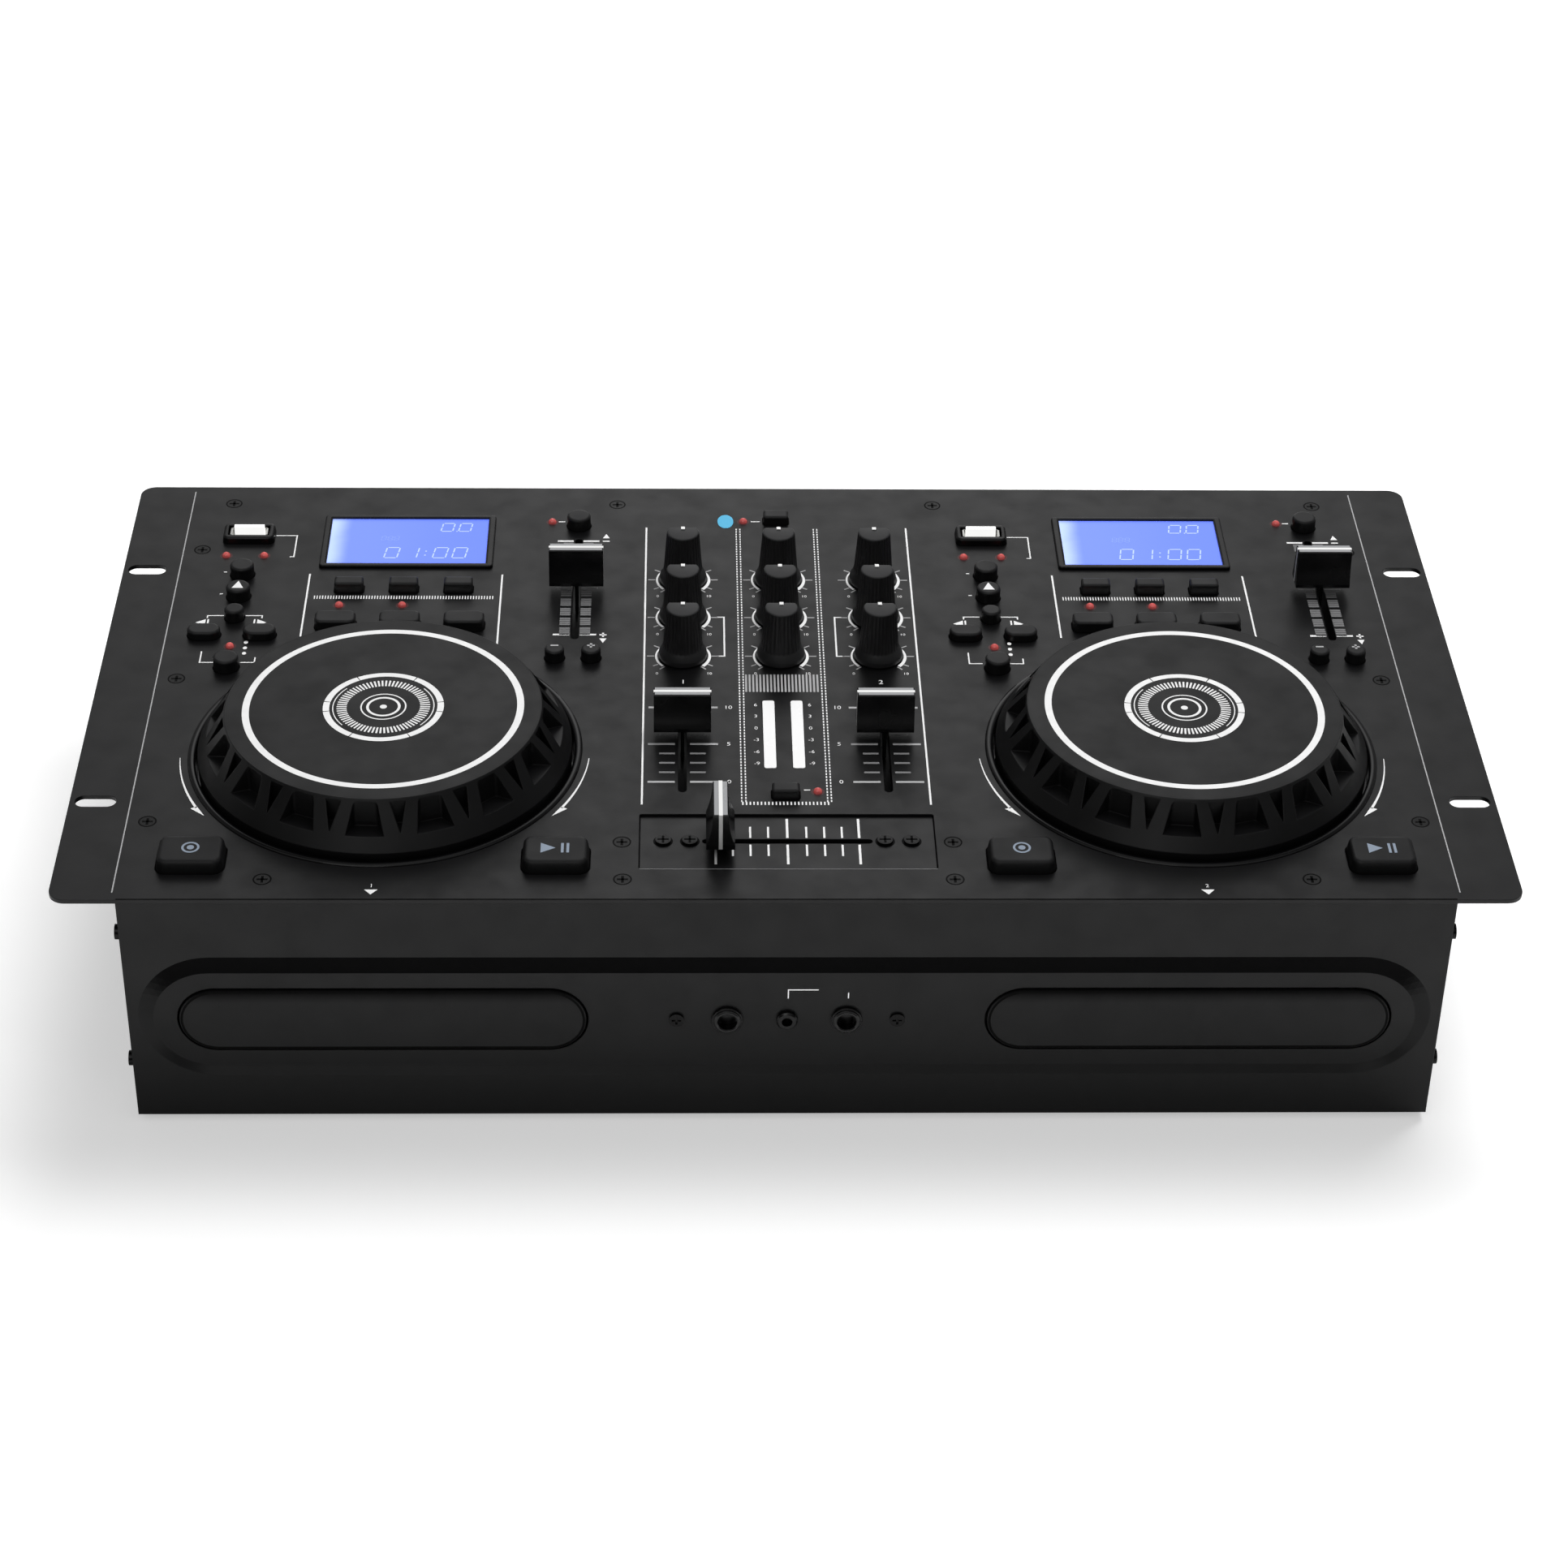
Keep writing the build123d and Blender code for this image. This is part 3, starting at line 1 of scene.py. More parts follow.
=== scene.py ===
"""Looks of the twin disc player console: materials, printed marks, dressed parts, camera and light.

Places on the panel are in millimetres: x from the middle, v back from the panel's front edge and
h above the panel. Places on a deck have u in place of x, from the middle of its jog wheel.
"""
import json
import math

import bmesh
import bpy
from mathutils import Matrix, Vector


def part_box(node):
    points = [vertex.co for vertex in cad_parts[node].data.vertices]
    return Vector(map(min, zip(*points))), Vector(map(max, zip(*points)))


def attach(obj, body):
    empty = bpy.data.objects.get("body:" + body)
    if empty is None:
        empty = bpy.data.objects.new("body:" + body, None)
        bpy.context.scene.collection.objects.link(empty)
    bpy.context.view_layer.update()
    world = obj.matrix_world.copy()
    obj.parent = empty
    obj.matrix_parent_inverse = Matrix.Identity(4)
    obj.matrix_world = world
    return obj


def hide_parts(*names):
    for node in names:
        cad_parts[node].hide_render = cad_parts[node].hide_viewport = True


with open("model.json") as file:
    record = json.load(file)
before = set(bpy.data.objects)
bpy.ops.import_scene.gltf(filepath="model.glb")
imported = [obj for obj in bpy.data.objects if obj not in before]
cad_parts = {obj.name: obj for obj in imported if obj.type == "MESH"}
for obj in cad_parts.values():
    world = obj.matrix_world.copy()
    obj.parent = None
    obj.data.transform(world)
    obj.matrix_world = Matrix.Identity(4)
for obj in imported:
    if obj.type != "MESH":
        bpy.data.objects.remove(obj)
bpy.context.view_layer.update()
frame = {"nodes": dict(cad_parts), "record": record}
nodes = frame["nodes"]

MM = 0.001
SIDES = ("left", "right")

# The panel's front edge and top face, the middles of decks and trays, the fascia's face and the rear.
panel_lo, panel_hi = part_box("top_panel")
FRONT_Y = panel_lo.y / MM
PANEL_Z = panel_hi.z / MM
DECK_X = {s: sum(c.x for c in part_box(f"jog_wheel_{s}")) / 2 / MM for s in SIDES}
TRAY_X = {s: sum(c.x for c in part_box(f"tray_front_{s}")) / 2 / MM for s in SIDES}
TRAY_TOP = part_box("tray_front_left")[1].z
TRAY_PROUD = 0.5
FASCIA_FACE_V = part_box("tray_front_left")[0].y / MM + TRAY_PROUD - FRONT_Y
BOARD_TOP = panel_hi.z - 0.0109
REAR_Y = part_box("case_tub")[1].y

# Places and heights that several parts or prints share.
JOG_V = 85.1
JOG_TOP_H = 18.0
PLATE_H = -0.9
CROSSFADER_V = 33.4
FRONT_LINE_H = -52.5
CHANNEL_X = 35.1
CHANNEL_V = {"10": 111.2, "5": 88.8, "0": 66.3}
PITCH_MID_V = 189.0
PITCH_STEP = 1.29
KNOB_X = {"left": -35.0, "centre": 0.0, "right": 35.0}
KNOB_V = {"upper": 194.7, "middle": 169.2, "lower": 143.8}

# A print's thickness and its gap to the face below, the low and high of a dark shade, and the radius
# of a thin plate's edges, in metres.
INK = 0.03
GAP = 0.004
SHADE = (0.002, 0.02)
THIN_EDGE = 0.00001


# ------------------------------------------------------------------ node materials
def linear(rgb):
    """A display colour, 0 to 255, as linear light."""
    return [(c / 255 / 12.92) if c <= 10 else ((c / 255 + 0.055) / 1.055) ** 2.4 for c in rgb]


class Nodes:
    """Short names for building one node tree."""

    def __init__(self, owner):
        self.material = bpy.data.materials.new(owner) if isinstance(owner, str) else owner
        self.material.use_nodes = True
        self.tree = self.material.node_tree
        self.tree.nodes.clear()

    def add(self, kind, **settings):
        """A node. A setting that starts with an underscore is the value of an input."""
        node = self.tree.nodes.new(f"ShaderNode{kind}")
        for key, value in settings.items():
            if key[0] == "_":
                node.inputs[key[1:].replace("_", " ")].default_value = value
            else:
                setattr(node, key, value)
        return node

    def link(self, source, target):
        self.tree.links.new(source, target)

    def part(self, vector, axis):
        """One part of a vector: X, Y or Z."""
        node = self.add("SeparateXYZ")
        self.link(vector, node.inputs[0])
        return node.outputs[axis]

    def show(self, shader):
        """Makes a shader the tree's surface."""
        self.link(shader.outputs[0], self.add("OutputMaterial").inputs["Surface"])

    def maths(self, operation, a, b=0.0, clamp=False):
        """Arithmetic on two values. Each is a number or a socket."""
        node = self.add("Math", operation=operation, use_clamp=clamp)
        for socket, value in zip(node.inputs, (a, b)):
            if isinstance(value, (int, float)):
                socket.default_value = value
            else:
                self.link(value, socket)
        return node.outputs[0]

    def remap(self, value, low, high, to_low=0.0, to_high=1.0, smooth=False):
        """A value that goes from to_low to to_high while another goes from low to high."""
        node = self.add("MapRange", clamp=True)
        if smooth:
            node.interpolation_type = "SMOOTHSTEP"
        self.link(value, node.inputs["Value"])
        ends = {"From Min": low, "From Max": high, "To Min": to_low, "To Max": to_high}
        for key, number in ends.items():
            node.inputs[key].default_value = number
        return node.outputs["Result"]

    def mix(self, factor, a, b):
        """A blend of two colours. Each is a list of numbers or a socket."""
        node = self.add("Mix", data_type="RGBA")
        self.link(factor, node.inputs["Factor"])
        colours = [s for s in node.inputs if s.type == "RGBA"]
        for socket, value in zip(colours, (a, b)):
            if isinstance(value, (list, tuple)):
                socket.default_value = (*value[:3], 1.0)
            else:
                self.link(value, socket)
        return [s for s in node.outputs if s.type == "RGBA"][0]

    def noise(self, size, detail=3.0, roughness=0.5, vector=None):
        """Noise whose patches have a size in metres."""
        node = self.add("TexNoise", _Scale=1 / size, _Detail=detail, _Roughness=roughness)
        self.link(vector or self.coords(), node.inputs["Vector"])
        return node.outputs["Fac"]

    def normal(self):
        return self.add("NewGeometry").outputs["True Normal"]

    def coords(self):
        if not hasattr(self, "_coords"):
            self._coords = self.add("TexCoord").outputs["Object"]
        return self._coords


# Metres: the depth of a surface's grain, and the size of the patches that edge wear comes in.
GRAIN_DEPTH = 0.0002
WEAR_PATCH = 0.004


def surface(
    name, rgb, rough=0.5, spec=0.5, metal=0.0, coat=0.0, coat_rough=0.15, blotch=0.10, blotch_size=0.03,
    grain=0.0005, bump=0.06, soft=0.0003, wear=0.0, wear_rgb=(120, 120, 120), colour=None, glow=None,
    rough_spread=0.06, streak=None, shade_gloss_by=None,
):
    """A painted, moulded or metal surface with colour variation, grain, soft edges and edge wear.

    shade_gloss_by paints shade by fading the gloss in: by what the face looks at ("facing") or by its
    height ("place"), from where to where along Z, and the gloss it starts from.
    """
    m = Nodes(name)
    base = linear(rgb)
    shader = m.add("BsdfPrincipled")
    m.show(shader)
    shader.inputs["Metallic"].default_value = metal
    shader.inputs["Specular IOR Level"].default_value = spec
    # Painted shade: the gloss is lowered on chosen faces, so that they look shaded.
    if shade_gloss_by:
        source, start, end, start_spec = shade_gloss_by
        height = m.part(m.normal() if source == "facing" else m.coords(), "Z")
        m.link(m.remap(height, start, end, start_spec, spec, smooth=True),
               shader.inputs["Specular IOR Level"])
    shader.inputs["Coat Weight"].default_value = coat
    shader.inputs["Coat Roughness"].default_value = coat_rough
    dark = [c * (1 - blotch) for c in base]
    light = [c * (1 + blotch) for c in base]
    tint = m.mix(m.remap(m.noise(blotch_size, 4.0, 0.6), 0.3, 0.7), dark, light)
    if colour:
        tint = colour(m, tint)
    bevel = m.add("Bevel", samples=4, _Radius=soft)
    if wear:
        wide = m.add("Bevel", samples=4, _Radius=soft * 2.5)
        dot = m.add("VectorMath", operation="DOT_PRODUCT")
        m.link(wide.outputs[0], dot.inputs[0])
        m.link(m.normal(), dot.inputs[1])
        edge = m.remap(m.maths("SUBTRACT", 1.0, dot.outputs["Value"]), 0.06, 0.30)
        worn = m.maths("MULTIPLY", edge, m.remap(m.noise(WEAR_PATCH, 5.0, 0.7), 0.48, 0.62), clamp=True)
        tint = m.mix(m.maths("MULTIPLY", worn, wear), tint, linear(wear_rgb))
    m.link(tint, shader.inputs["Base Color"])
    patches = m.noise(blotch_size * 0.4, 3.0)
    m.link(m.remap(patches, 0.3, 0.7, rough - rough_spread, rough + rough_spread),
           shader.inputs["Roughness"])
    if streak:
        mapping = m.add("Mapping", _Scale=streak)
        m.link(m.coords(), mapping.inputs["Vector"])
        fine = m.noise(grain, 2.0, 0.5, mapping.outputs[0])
    else:
        fine = m.noise(grain, 2.0, 0.6)
    relief = m.add("Bump", _Strength=bump, _Distance=GRAIN_DEPTH)
    m.link(fine, relief.inputs["Height"])
    m.link(bevel.outputs[0], relief.inputs["Normal"])
    m.link(relief.outputs[0], shader.inputs["Normal"])
    if glow:
        m.link(tint, shader.inputs["Emission Color"])
        shader.inputs["Emission Strength"].default_value = glow
    return m.material


def top_highlight(rgb):
    """A painted highlight: a lighter colour on the faces that look up."""
    def paint(m, tint):
        return m.mix(m.remap(m.part(m.normal(), "Z"), 0.90, 0.97), tint, linear(rgb))
    return paint


def across_tint(limit, rgb):
    """A different colour where |x| is under a limit in metres: the level meters between the decks."""
    def paint(m, tint):
        inside = m.maths("LESS_THAN", m.maths("ABSOLUTE", m.part(m.coords(), "X")), limit)
        return m.mix(inside, tint, linear(rgb))
    return paint


def board_tint(top, rgb, copper):
    """Dark mouldings above the boards' top face, and traces on the boards."""
    def paint(m, tint):
        brick = m.add("TexBrick", _Scale=140.0, _Mortar_Size=0.03)
        m.link(m.coords(), brick.inputs["Vector"])
        traced = m.mix(m.remap(brick.outputs["Fac"], 0.2, 0.8), tint, linear(copper))
        above = m.remap(m.part(m.coords(), "Z"), top, top + 0.0001)
        return m.mix(above, traced, linear(rgb))
    return paint


# The look of every material slot of the CAD nodes.
LOOKS = {
    "panel_paint": dict(rgb=(13, 13, 14), rough=0.36, spec=0.5, grain=0.00045, bump=0.09, blotch=0.12,
                        wear=0.25, wear_rgb=(70, 70, 72), soft=0.0004),
    # Painted shade: the case's faces that look down lose most of their gloss, as if in shade.
    "case_paint": dict(rgb=(10, 10, 11), rough=0.42, spec=0.46, grain=0.0005, bump=0.10,
                       shade_gloss_by=("facing", -0.22, -0.12, 0.05), blotch=0.12, wear=0.25,
                       wear_rgb=(50, 50, 52), soft=0.0006),
    "foot_rubber": dict(rgb=(18, 18, 18), rough=0.8, spec=0.3, grain=0.0008, bump=0.25),
    "jog_rubber": dict(rgb=(12, 12, 13), rough=0.40, spec=0.46, grain=0.0006, bump=0.05, blotch=0.15,
                       soft=0.0005),
    "well_gloss": dict(rgb=(5, 5, 6), rough=0.12, spec=0.35, coat=0.25, coat_rough=0.05, bump=0.01,
                       rough_spread=0.03, soft=0.0008),
    "bezel_plastic": dict(rgb=(8, 8, 9), rough=0.28, spec=0.4, grain=0.0006, bump=0.04, soft=0.0007),
    "screen_window": dict(rgb=(96, 128, 235), rough=0.25, spec=0.4, bump=0.0, blotch=0.03,
                          colour=across_tint(0.03, (255, 255, 255))),
    "led_red": dict(rgb=(196, 86, 84), rough=0.16, spec=0.5, coat=0.7, coat_rough=0.06, bump=0.0,
                    blotch=0.2, blotch_size=0.002, glow=0.25),
    "plate_paint": dict(rgb=(16, 16, 17), rough=0.38, spec=0.6, grain=0.0004, bump=0.07, blotch=0.12,
                        wear=0.3, wear_rgb=(70, 70, 72)),
    "screw_black": dict(rgb=(5, 5, 6), rough=0.24, spec=0.3, grain=0.0003, bump=0.04, wear=0.5,
                        wear_rgb=(110, 108, 105), soft=0.0002),
    "socket_body": dict(rgb=(10, 10, 11), rough=0.26, spec=0.5, bump=0.02),
    "drive_plastic": dict(rgb=(24, 24, 25), rough=0.5, bump=0.1),
    "board_laminate": dict(rgb=(14, 78, 42), rough=0.35, bump=0.02,
                           colour=board_tint(BOARD_TOP, (20, 20, 21), (30, 105, 55))),
    "tray_plastic": dict(rgb=(20, 20, 21), rough=0.42, grain=0.0007, bump=0.08),
    # Painted shade: the tray fronts lose their gloss towards their top, for the shadow under the recess
    # above.
    "tray_front_plastic": dict(rgb=(11, 11, 12), rough=0.44, spec=0.46, grain=0.0006,
                               shade_gloss_by=("place", TRAY_TOP, TRAY_TOP - 0.006, 0.08), bump=0.10,
                               soft=0.0008, wear=0.15, wear_rgb=(50, 50, 52)),
    "spindle_plastic": dict(rgb=(200, 200, 196), rough=0.4, bump=0.04),
    "knob_plastic": dict(rgb=(40, 40, 41), rough=0.42, spec=0.46, grain=0.0004, bump=0.12, blotch=0.1,
                         soft=0.0003),
    # Painted highlight: the caps' tops are lighter, for the light on their gloss.
    "fader_cap": dict(rgb=(16, 16, 17), rough=0.24, spec=0.5, grain=0.0005, bump=0.02,
                      colour=top_highlight((156, 157, 159)), soft=0.00035),
    "rocker_plastic": dict(rgb=(10, 10, 11), rough=0.2, spec=0.5, coat=0.3),
    "transport_key": dict(rgb=(18, 18, 19), rough=0.40, spec=0.38, grain=0.0005, bump=0.05, blotch=0.1,
                          soft=0.0012),
    "key_plastic": dict(rgb=(22, 22, 23), rough=0.40, spec=0.44, grain=0.0004, bump=0.05, blotch=0.1,
                        soft=0.0008),
}
MATS = {name: surface(name, **look) for name, look in LOOKS.items()}


def ink(name, rgb, blotch=0.05, glow=None):
    """A matt printed colour. A glow, where given, paints light onto it so that it looks lit in shade."""
    return surface(name, rgb, rough=0.5, spec=0.3, grain=0.0003, bump=0.05, blotch=blotch,
                   blotch_size=0.004, soft=THIN_EDGE, glow=glow)


PRINT = ink("print_white", (246, 246, 246), 0.04)
PRINT_GREY = ink("print_grey", (176, 176, 177))
PRINT_DIM = ink("print_dim", (124, 124, 125))
# Painted light: the front's print glows, so that it stays white on the shaded fascia.
PRINT_FRONT_GLOWING = ink("print_front_glowing", (246, 246, 246), 0.04, glow=0.6)
# Painted shade: the near-black of the dark lines that stand in for shadow in gaps, slots and countersinks.
PAINTED_SHADE = surface("painted_shade", (3, 3, 3), rough=0.5, spec=0.1, bump=0.02, blotch=0.2, soft=THIN_EDGE)
PRINT_BLUE = surface("print_blue", (92, 186, 226), rough=0.45, spec=0.3, bump=0.03, blotch=0.04,
                     soft=THIN_EDGE)
# Painted glow: the dark red of the LEDs' light on the panel round them.
HALO = surface("led_halo", (66, 34, 36), rough=0.4, spec=0.5, bump=0.03, blotch=0.2, soft=THIN_EDGE)
# A lighter face for the plate screws' heads: partly their own colour, partly a painted sheen for the light
# they reflect.
SCREW_FACE_SHEEN = surface("screw_face_sheen", (24, 24, 25), rough=0.4, spec=0.4, bump=0.05, blotch=0.2,
                     soft=THIN_EDGE)
PRINT_KEY = surface("print_key", (140, 152, 168), rough=0.4, spec=0.4, bump=0.02, blotch=0.05,
                    soft=THIN_EDGE)
INLAY = surface("inlay_white", (246, 246, 245), rough=0.35, spec=0.4, bump=0.02, blotch=0.03, soft=0.0001)
STEEL = surface("socket_steel", (214, 214, 210), rough=0.18, metal=1.0, bump=0.02, blotch=0.05,
                soft=0.0001, streak=(1, 1, 30))
# Painted light: the white socket parts glow, so that they look white deep in the sockets' shade.
WHITE_GLOWING = surface("socket_white_glowing", (248, 248, 246), rough=0.35, bump=0.02, blotch=0.03, glow=0.9)
RED_RING = surface("socket_red", (168, 26, 24), rough=0.35, bump=0.03)
BRASS = surface("socket_contact", (212, 176, 92), rough=0.25, metal=1.0, bump=0.02, soft=0.0001)


# ------------------------------------------------------------------ pieces
def to_mesh(name, bm, material, smooth=None):
    """A mesh with one material, shaded smooth up to an angle in degrees."""
    bmesh.ops.recalc_face_normals(bm, faces=bm.faces)
    mesh = bpy.data.meshes.new(name)
    bm.to_mesh(mesh)
    bm.free()
    if smooth is not None:
        mesh.shade_smooth()
        mesh.set_sharp_from_angle(angle=math.radians(smooth))
    mesh.materials.append(material)
    return mesh


def put(name, mesh, body, place=None):
    """A piece that rides on a body."""
    piece = bpy.data.objects.new(name, mesh)
    bpy.context.scene.collection.objects.link(piece)
    if place is not None:
        piece.matrix_world = place
    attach(piece, body)
    return piece


def finish_mesh(name, bm, material, body, smooth=None):
    return put(name, to_mesh(name, bm, material, smooth), body)


def circle(steps):
    """Directions all round, evenly spaced."""
    return [(math.cos(2 * math.pi * i / steps), math.sin(2 * math.pi * i / steps)) for i in range(steps)]


class Flat:
    """Thin closed plates that lie on a plane, drawn in millimetres."""

    def __init__(self, place, low=GAP, high=GAP + INK):
        self.bm = bmesh.new()
        self.place = place
        self.low = low
        self.high = high

    def vertex(self, x, y, z):
        return self.bm.verts.new(self.place @ Vector((x * MM, y * MM, z * MM)))

    def poly(self, points):
        rings = [[self.vertex(x, y, z) for x, y in points] for z in (self.low, self.high)]
        self.bm.faces.new(reversed(rings[0]))
        self.bm.faces.new(rings[1])
        for i in range(len(points)):
            j = (i + 1) % len(points)
            self.bm.faces.new((rings[0][i], rings[0][j], rings[1][j], rings[1][i]))
        return self

    def strip(self, left, right, closed=False):
        """A band between two rows of points."""
        low_l, low_r, high_l, high_r = [[self.vertex(x, y, z) for x, y in line]
                                        for z in (self.low, self.high) for line in (left, right)]
        count = len(left) - (0 if closed else 1)
        for i in range(count):
            j = (i + 1) % len(left)
            self.bm.faces.new((high_l[i], high_l[j], high_r[j], high_r[i]))
            self.bm.faces.new((low_l[i], low_r[i], low_r[j], low_l[j]))
            self.bm.faces.new((low_l[i], low_l[j], high_l[j], high_l[i]))
            self.bm.faces.new((low_r[i], high_r[i], high_r[j], low_r[j]))
        if not closed:
            for i in (0, -1):
                self.bm.faces.new((low_l[i], high_l[i], high_r[i], low_r[i]))
        return self

    def line(self, points, width, closed=False):
        """A line with mitred corners. The width is one number, or one per point."""
        widths = [width] * len(points) if isinstance(width, (int, float)) else width
        pts = [Vector(p) for p in points]
        left, right = [], []
        for i, p in enumerate(pts):
            before = pts[i - 1] if (i or closed) else None
            after = pts[(i + 1) % len(pts)] if (i + 1 < len(pts) or closed) else None
            d0 = (p - before).normalized() if before is not None else None
            d1 = (after - p).normalized() if after is not None else None
            if d0 is None or d1 is None:
                d = d0 or d1
                n, k = Vector((-d.y, d.x)), 1.0
            else:
                n = Vector((-(d0 + d1).y, (d0 + d1).x)).normalized()
                k = 1 / max(0.4, n.dot(Vector((-d0.y, d0.x))))
            half = widths[i] / 2 * k
            left.append(tuple(p + n * half))
            right.append(tuple(p - n * half))
        return self.strip(left, right, closed)

    def arc(self, cx, cy, r, start, end, width, steps=None):
        """An arc between two angles in degrees. The width is one number, or one for each end."""
        closed = abs(end - start) >= 359.99
        steps = steps or max(6, int(abs(end - start) * max(r, 2) / 60))
        count = steps if closed else steps + 1
        points = []
        for i in range(count):
            a = math.radians(start + (end - start) * i / steps)
            points.append((cx + r * math.cos(a), cy + r * math.sin(a)))
        if not isinstance(width, (int, float)):
            width = [width[0] + (width[1] - width[0]) * i / steps for i in range(count)]
        return self.line(points, width, closed)

    def oval(self, cx, cy, width, height, steps=40):
        return self.poly([(cx + width / 2 * c, cy + height / 2 * s) for c, s in circle(steps)])

    def bar(self, x0, y0, x1, y1):
        return self.poly([(x0, y0), (x1, y0), (x1, y1), (x0, y1)])

    def text(self, body, x, y, size):
        """Numbers, centred on a place."""
        curve = bpy.data.curves.new("numbers", "FONT")
        curve.body = body
        curve.size = size * 1.35 * MM
        curve.align_x = "CENTER"
        curve.align_y = "CENTER"
        curve.extrude = (self.high - self.low) / 2 * MM
        curve.resolution_u = 3
        holder = bpy.data.objects.new("numbers", curve)
        mesh = bpy.data.meshes.new_from_object(holder)
        mesh.transform(self.place @ Matrix.Translation((x * MM, y * MM, (self.low + self.high) / 2 * MM)))
        self.bm.from_mesh(mesh)
        bpy.data.objects.remove(holder)
        bpy.data.curves.remove(curve)
        bpy.data.meshes.remove(mesh)
        return self

    def make(self, name, material, body="console", slot="panel_paint"):
        return finish_mesh(name, self.bm, material, body)


def on_panel(x=0.0, h=0.0, v=0.0):
    """A plane over the panel, whose y runs to the back."""
    return Matrix.Translation((x * MM, (FRONT_Y + v) * MM, (PANEL_Z + h) * MM))


def on_front(v, x=0.0, h=0.0):
    """A plane on the front, whose y is the height above the panel."""
    turn = Matrix.Rotation(math.radians(90), 4, "X")
    return Matrix.Translation((x * MM, (FRONT_Y + v) * MM, (PANEL_Z + h) * MM)) @ turn


def on_rear(x, z):
    """A plane on the rear wall that looks back."""
    return Matrix.Translation((x * MM, REAR_Y, z * MM)) @ Matrix.Rotation(math.radians(-90), 4, "X")


def revolve(profile, steps, place):
    """A closed body of revolution about Z. The profile is (r, z) pairs in millimetres, top to bottom."""
    bm = bmesh.new()
    rings = []
    for r, z in profile:
        points = circle(steps) if r > 1e-6 else [(0, 0)]
        rings.append([bm.verts.new(place @ Vector((r * MM * c, r * MM * s, z * MM))) for c, s in points])
    for a, b in zip(rings, rings[1:]):
        for i in range(steps):
            j = (i + 1) % steps
            corners = [a[i % len(a)], a[j % len(a)], b[j % len(b)], b[i % len(b)]]
            corners = [v for n, v in enumerate(corners) if v not in corners[:n]]
            if len(corners) > 2:
                bm.faces.new(corners)
    return bm


def block(bm, lo, hi, place=None, edge=0.0):
    """A box between two corners in millimetres, with small bevels."""
    place = place or Matrix.Identity(4)
    middle = Matrix.Translation([(l + h) / 2 * MM for l, h in zip(lo, hi)])
    size = Matrix.Diagonal([(h - l) * MM for l, h in zip(lo, hi)] + [1.0])
    made = bmesh.ops.create_cube(bm, size=1.0, matrix=place @ middle @ size)
    if edge:
        edges = list({e for v in made["verts"] for e in v.link_edges})
        bmesh.ops.bevel(bm, geom=edges, offset=edge * MM, segments=2, affect="EDGES", profile=0.6)
    return bm


# ------------------------------------------------------------------ camera, light and floor
LENS = 84.258
CAMERA_PLACE = (-0.034263, -1.082819, 0.821225)
CAMERA_TURN = (54.48451, -0.934256, -1.234826)

camera_data = bpy.data.cameras.new("camera")
camera_data.lens = LENS
camera_data.sensor_width = 36.0
camera_data.clip_end = 60.0
camera = bpy.data.objects.new("camera", camera_data)
camera.location = CAMERA_PLACE
camera.rotation_euler = [math.radians(a) for a in CAMERA_TURN]
bpy.context.scene.collection.objects.link(camera)
bpy.context.scene.camera = camera
bpy.context.scene.view_settings.view_transform = "Standard"

KEY_POWER = 53.0
FRONT_POWER = 6.0
AIM = (0.0, 0.0, 0.05)

# What reflections and the ambient light see all round, by direction: x across, y along, z upward.
# BEHIND is where the view ahead turns into the wall behind, and WALL_MID the wall's bright middle.
# The other rows have two directions and the strength at each of them.
BEHIND = (-0.15, 0.25)
WALL_MID = 0.03
WALL_ASIDE = (0.02, 0.34, 1.0, 0.15)
WALL_RISE = (0.62, 0.86, 1.0, 0.30)
AHEAD_RISE = (0.35, 0.9, 0.05, 0.42)

FLOOR_TONE = 0.80
FLOOR_LIFT = 0.45


def lamp(name, place, size, power, glossy=False):
    """A rectangular lamp that looks at the object."""
    data = bpy.data.lights.new(name, "AREA")
    data.shape = "RECTANGLE"
    data.size, data.size_y = size
    data.energy = power
    light = bpy.data.objects.new(name, data)
    light.location = place
    light.visible_glossy = glossy
    light.rotation_euler = (Vector(AIM) - Vector(place)).to_track_quat("-Z", "Y").to_euler()
    bpy.context.scene.collection.objects.link(light)


lamp("key", (0.55, 0.9, 2.3), (1.7, 1.2), KEY_POWER)
lamp("front", (-0.8, -2.2, 2.4), (1.6, 1.2), FRONT_POWER, True)

world = bpy.data.worlds.new("studio")
bpy.context.scene.world = world
sky = Nodes(world)
paths = sky.add("LightPath")
shown = sky.maths("MAXIMUM", paths.outputs["Is Camera Ray"], paths.outputs["Is Transmission Ray"])
heading = sky.add("TexCoord").outputs["Generated"]
across, along, upward = (sky.part(heading, axis) for axis in "XYZ")
behind = sky.remap(along, *BEHIND, smooth=True)
aside = sky.maths("ABSOLUTE", sky.maths("SUBTRACT", across, WALL_MID))
wall = sky.maths("MULTIPLY", sky.remap(aside, *WALL_ASIDE, smooth=True),
                 sky.remap(upward, *WALL_RISE, smooth=True))
ahead = sky.remap(upward, *AHEAD_RISE, smooth=True)
level = sky.maths("ADD", sky.maths("MULTIPLY", behind, wall),
                  sky.maths("MULTIPLY", sky.maths("SUBTRACT", 1.0, behind), ahead))
backdrop = sky.add("Background", _Strength=1.0)
ambient = sky.add("Background")
either = sky.add("MixShader")
for node in (backdrop, ambient):
    node.inputs["Color"].default_value = (1, 1, 1, 1)
sky.link(level, ambient.inputs["Strength"])
sky.link(shown, either.inputs["Fac"])
sky.link(ambient.outputs[0], either.inputs[1])
sky.link(backdrop.outputs[0], either.inputs[2])
sky.link(either.outputs[0], sky.add("OutputWorld").inputs["Surface"])


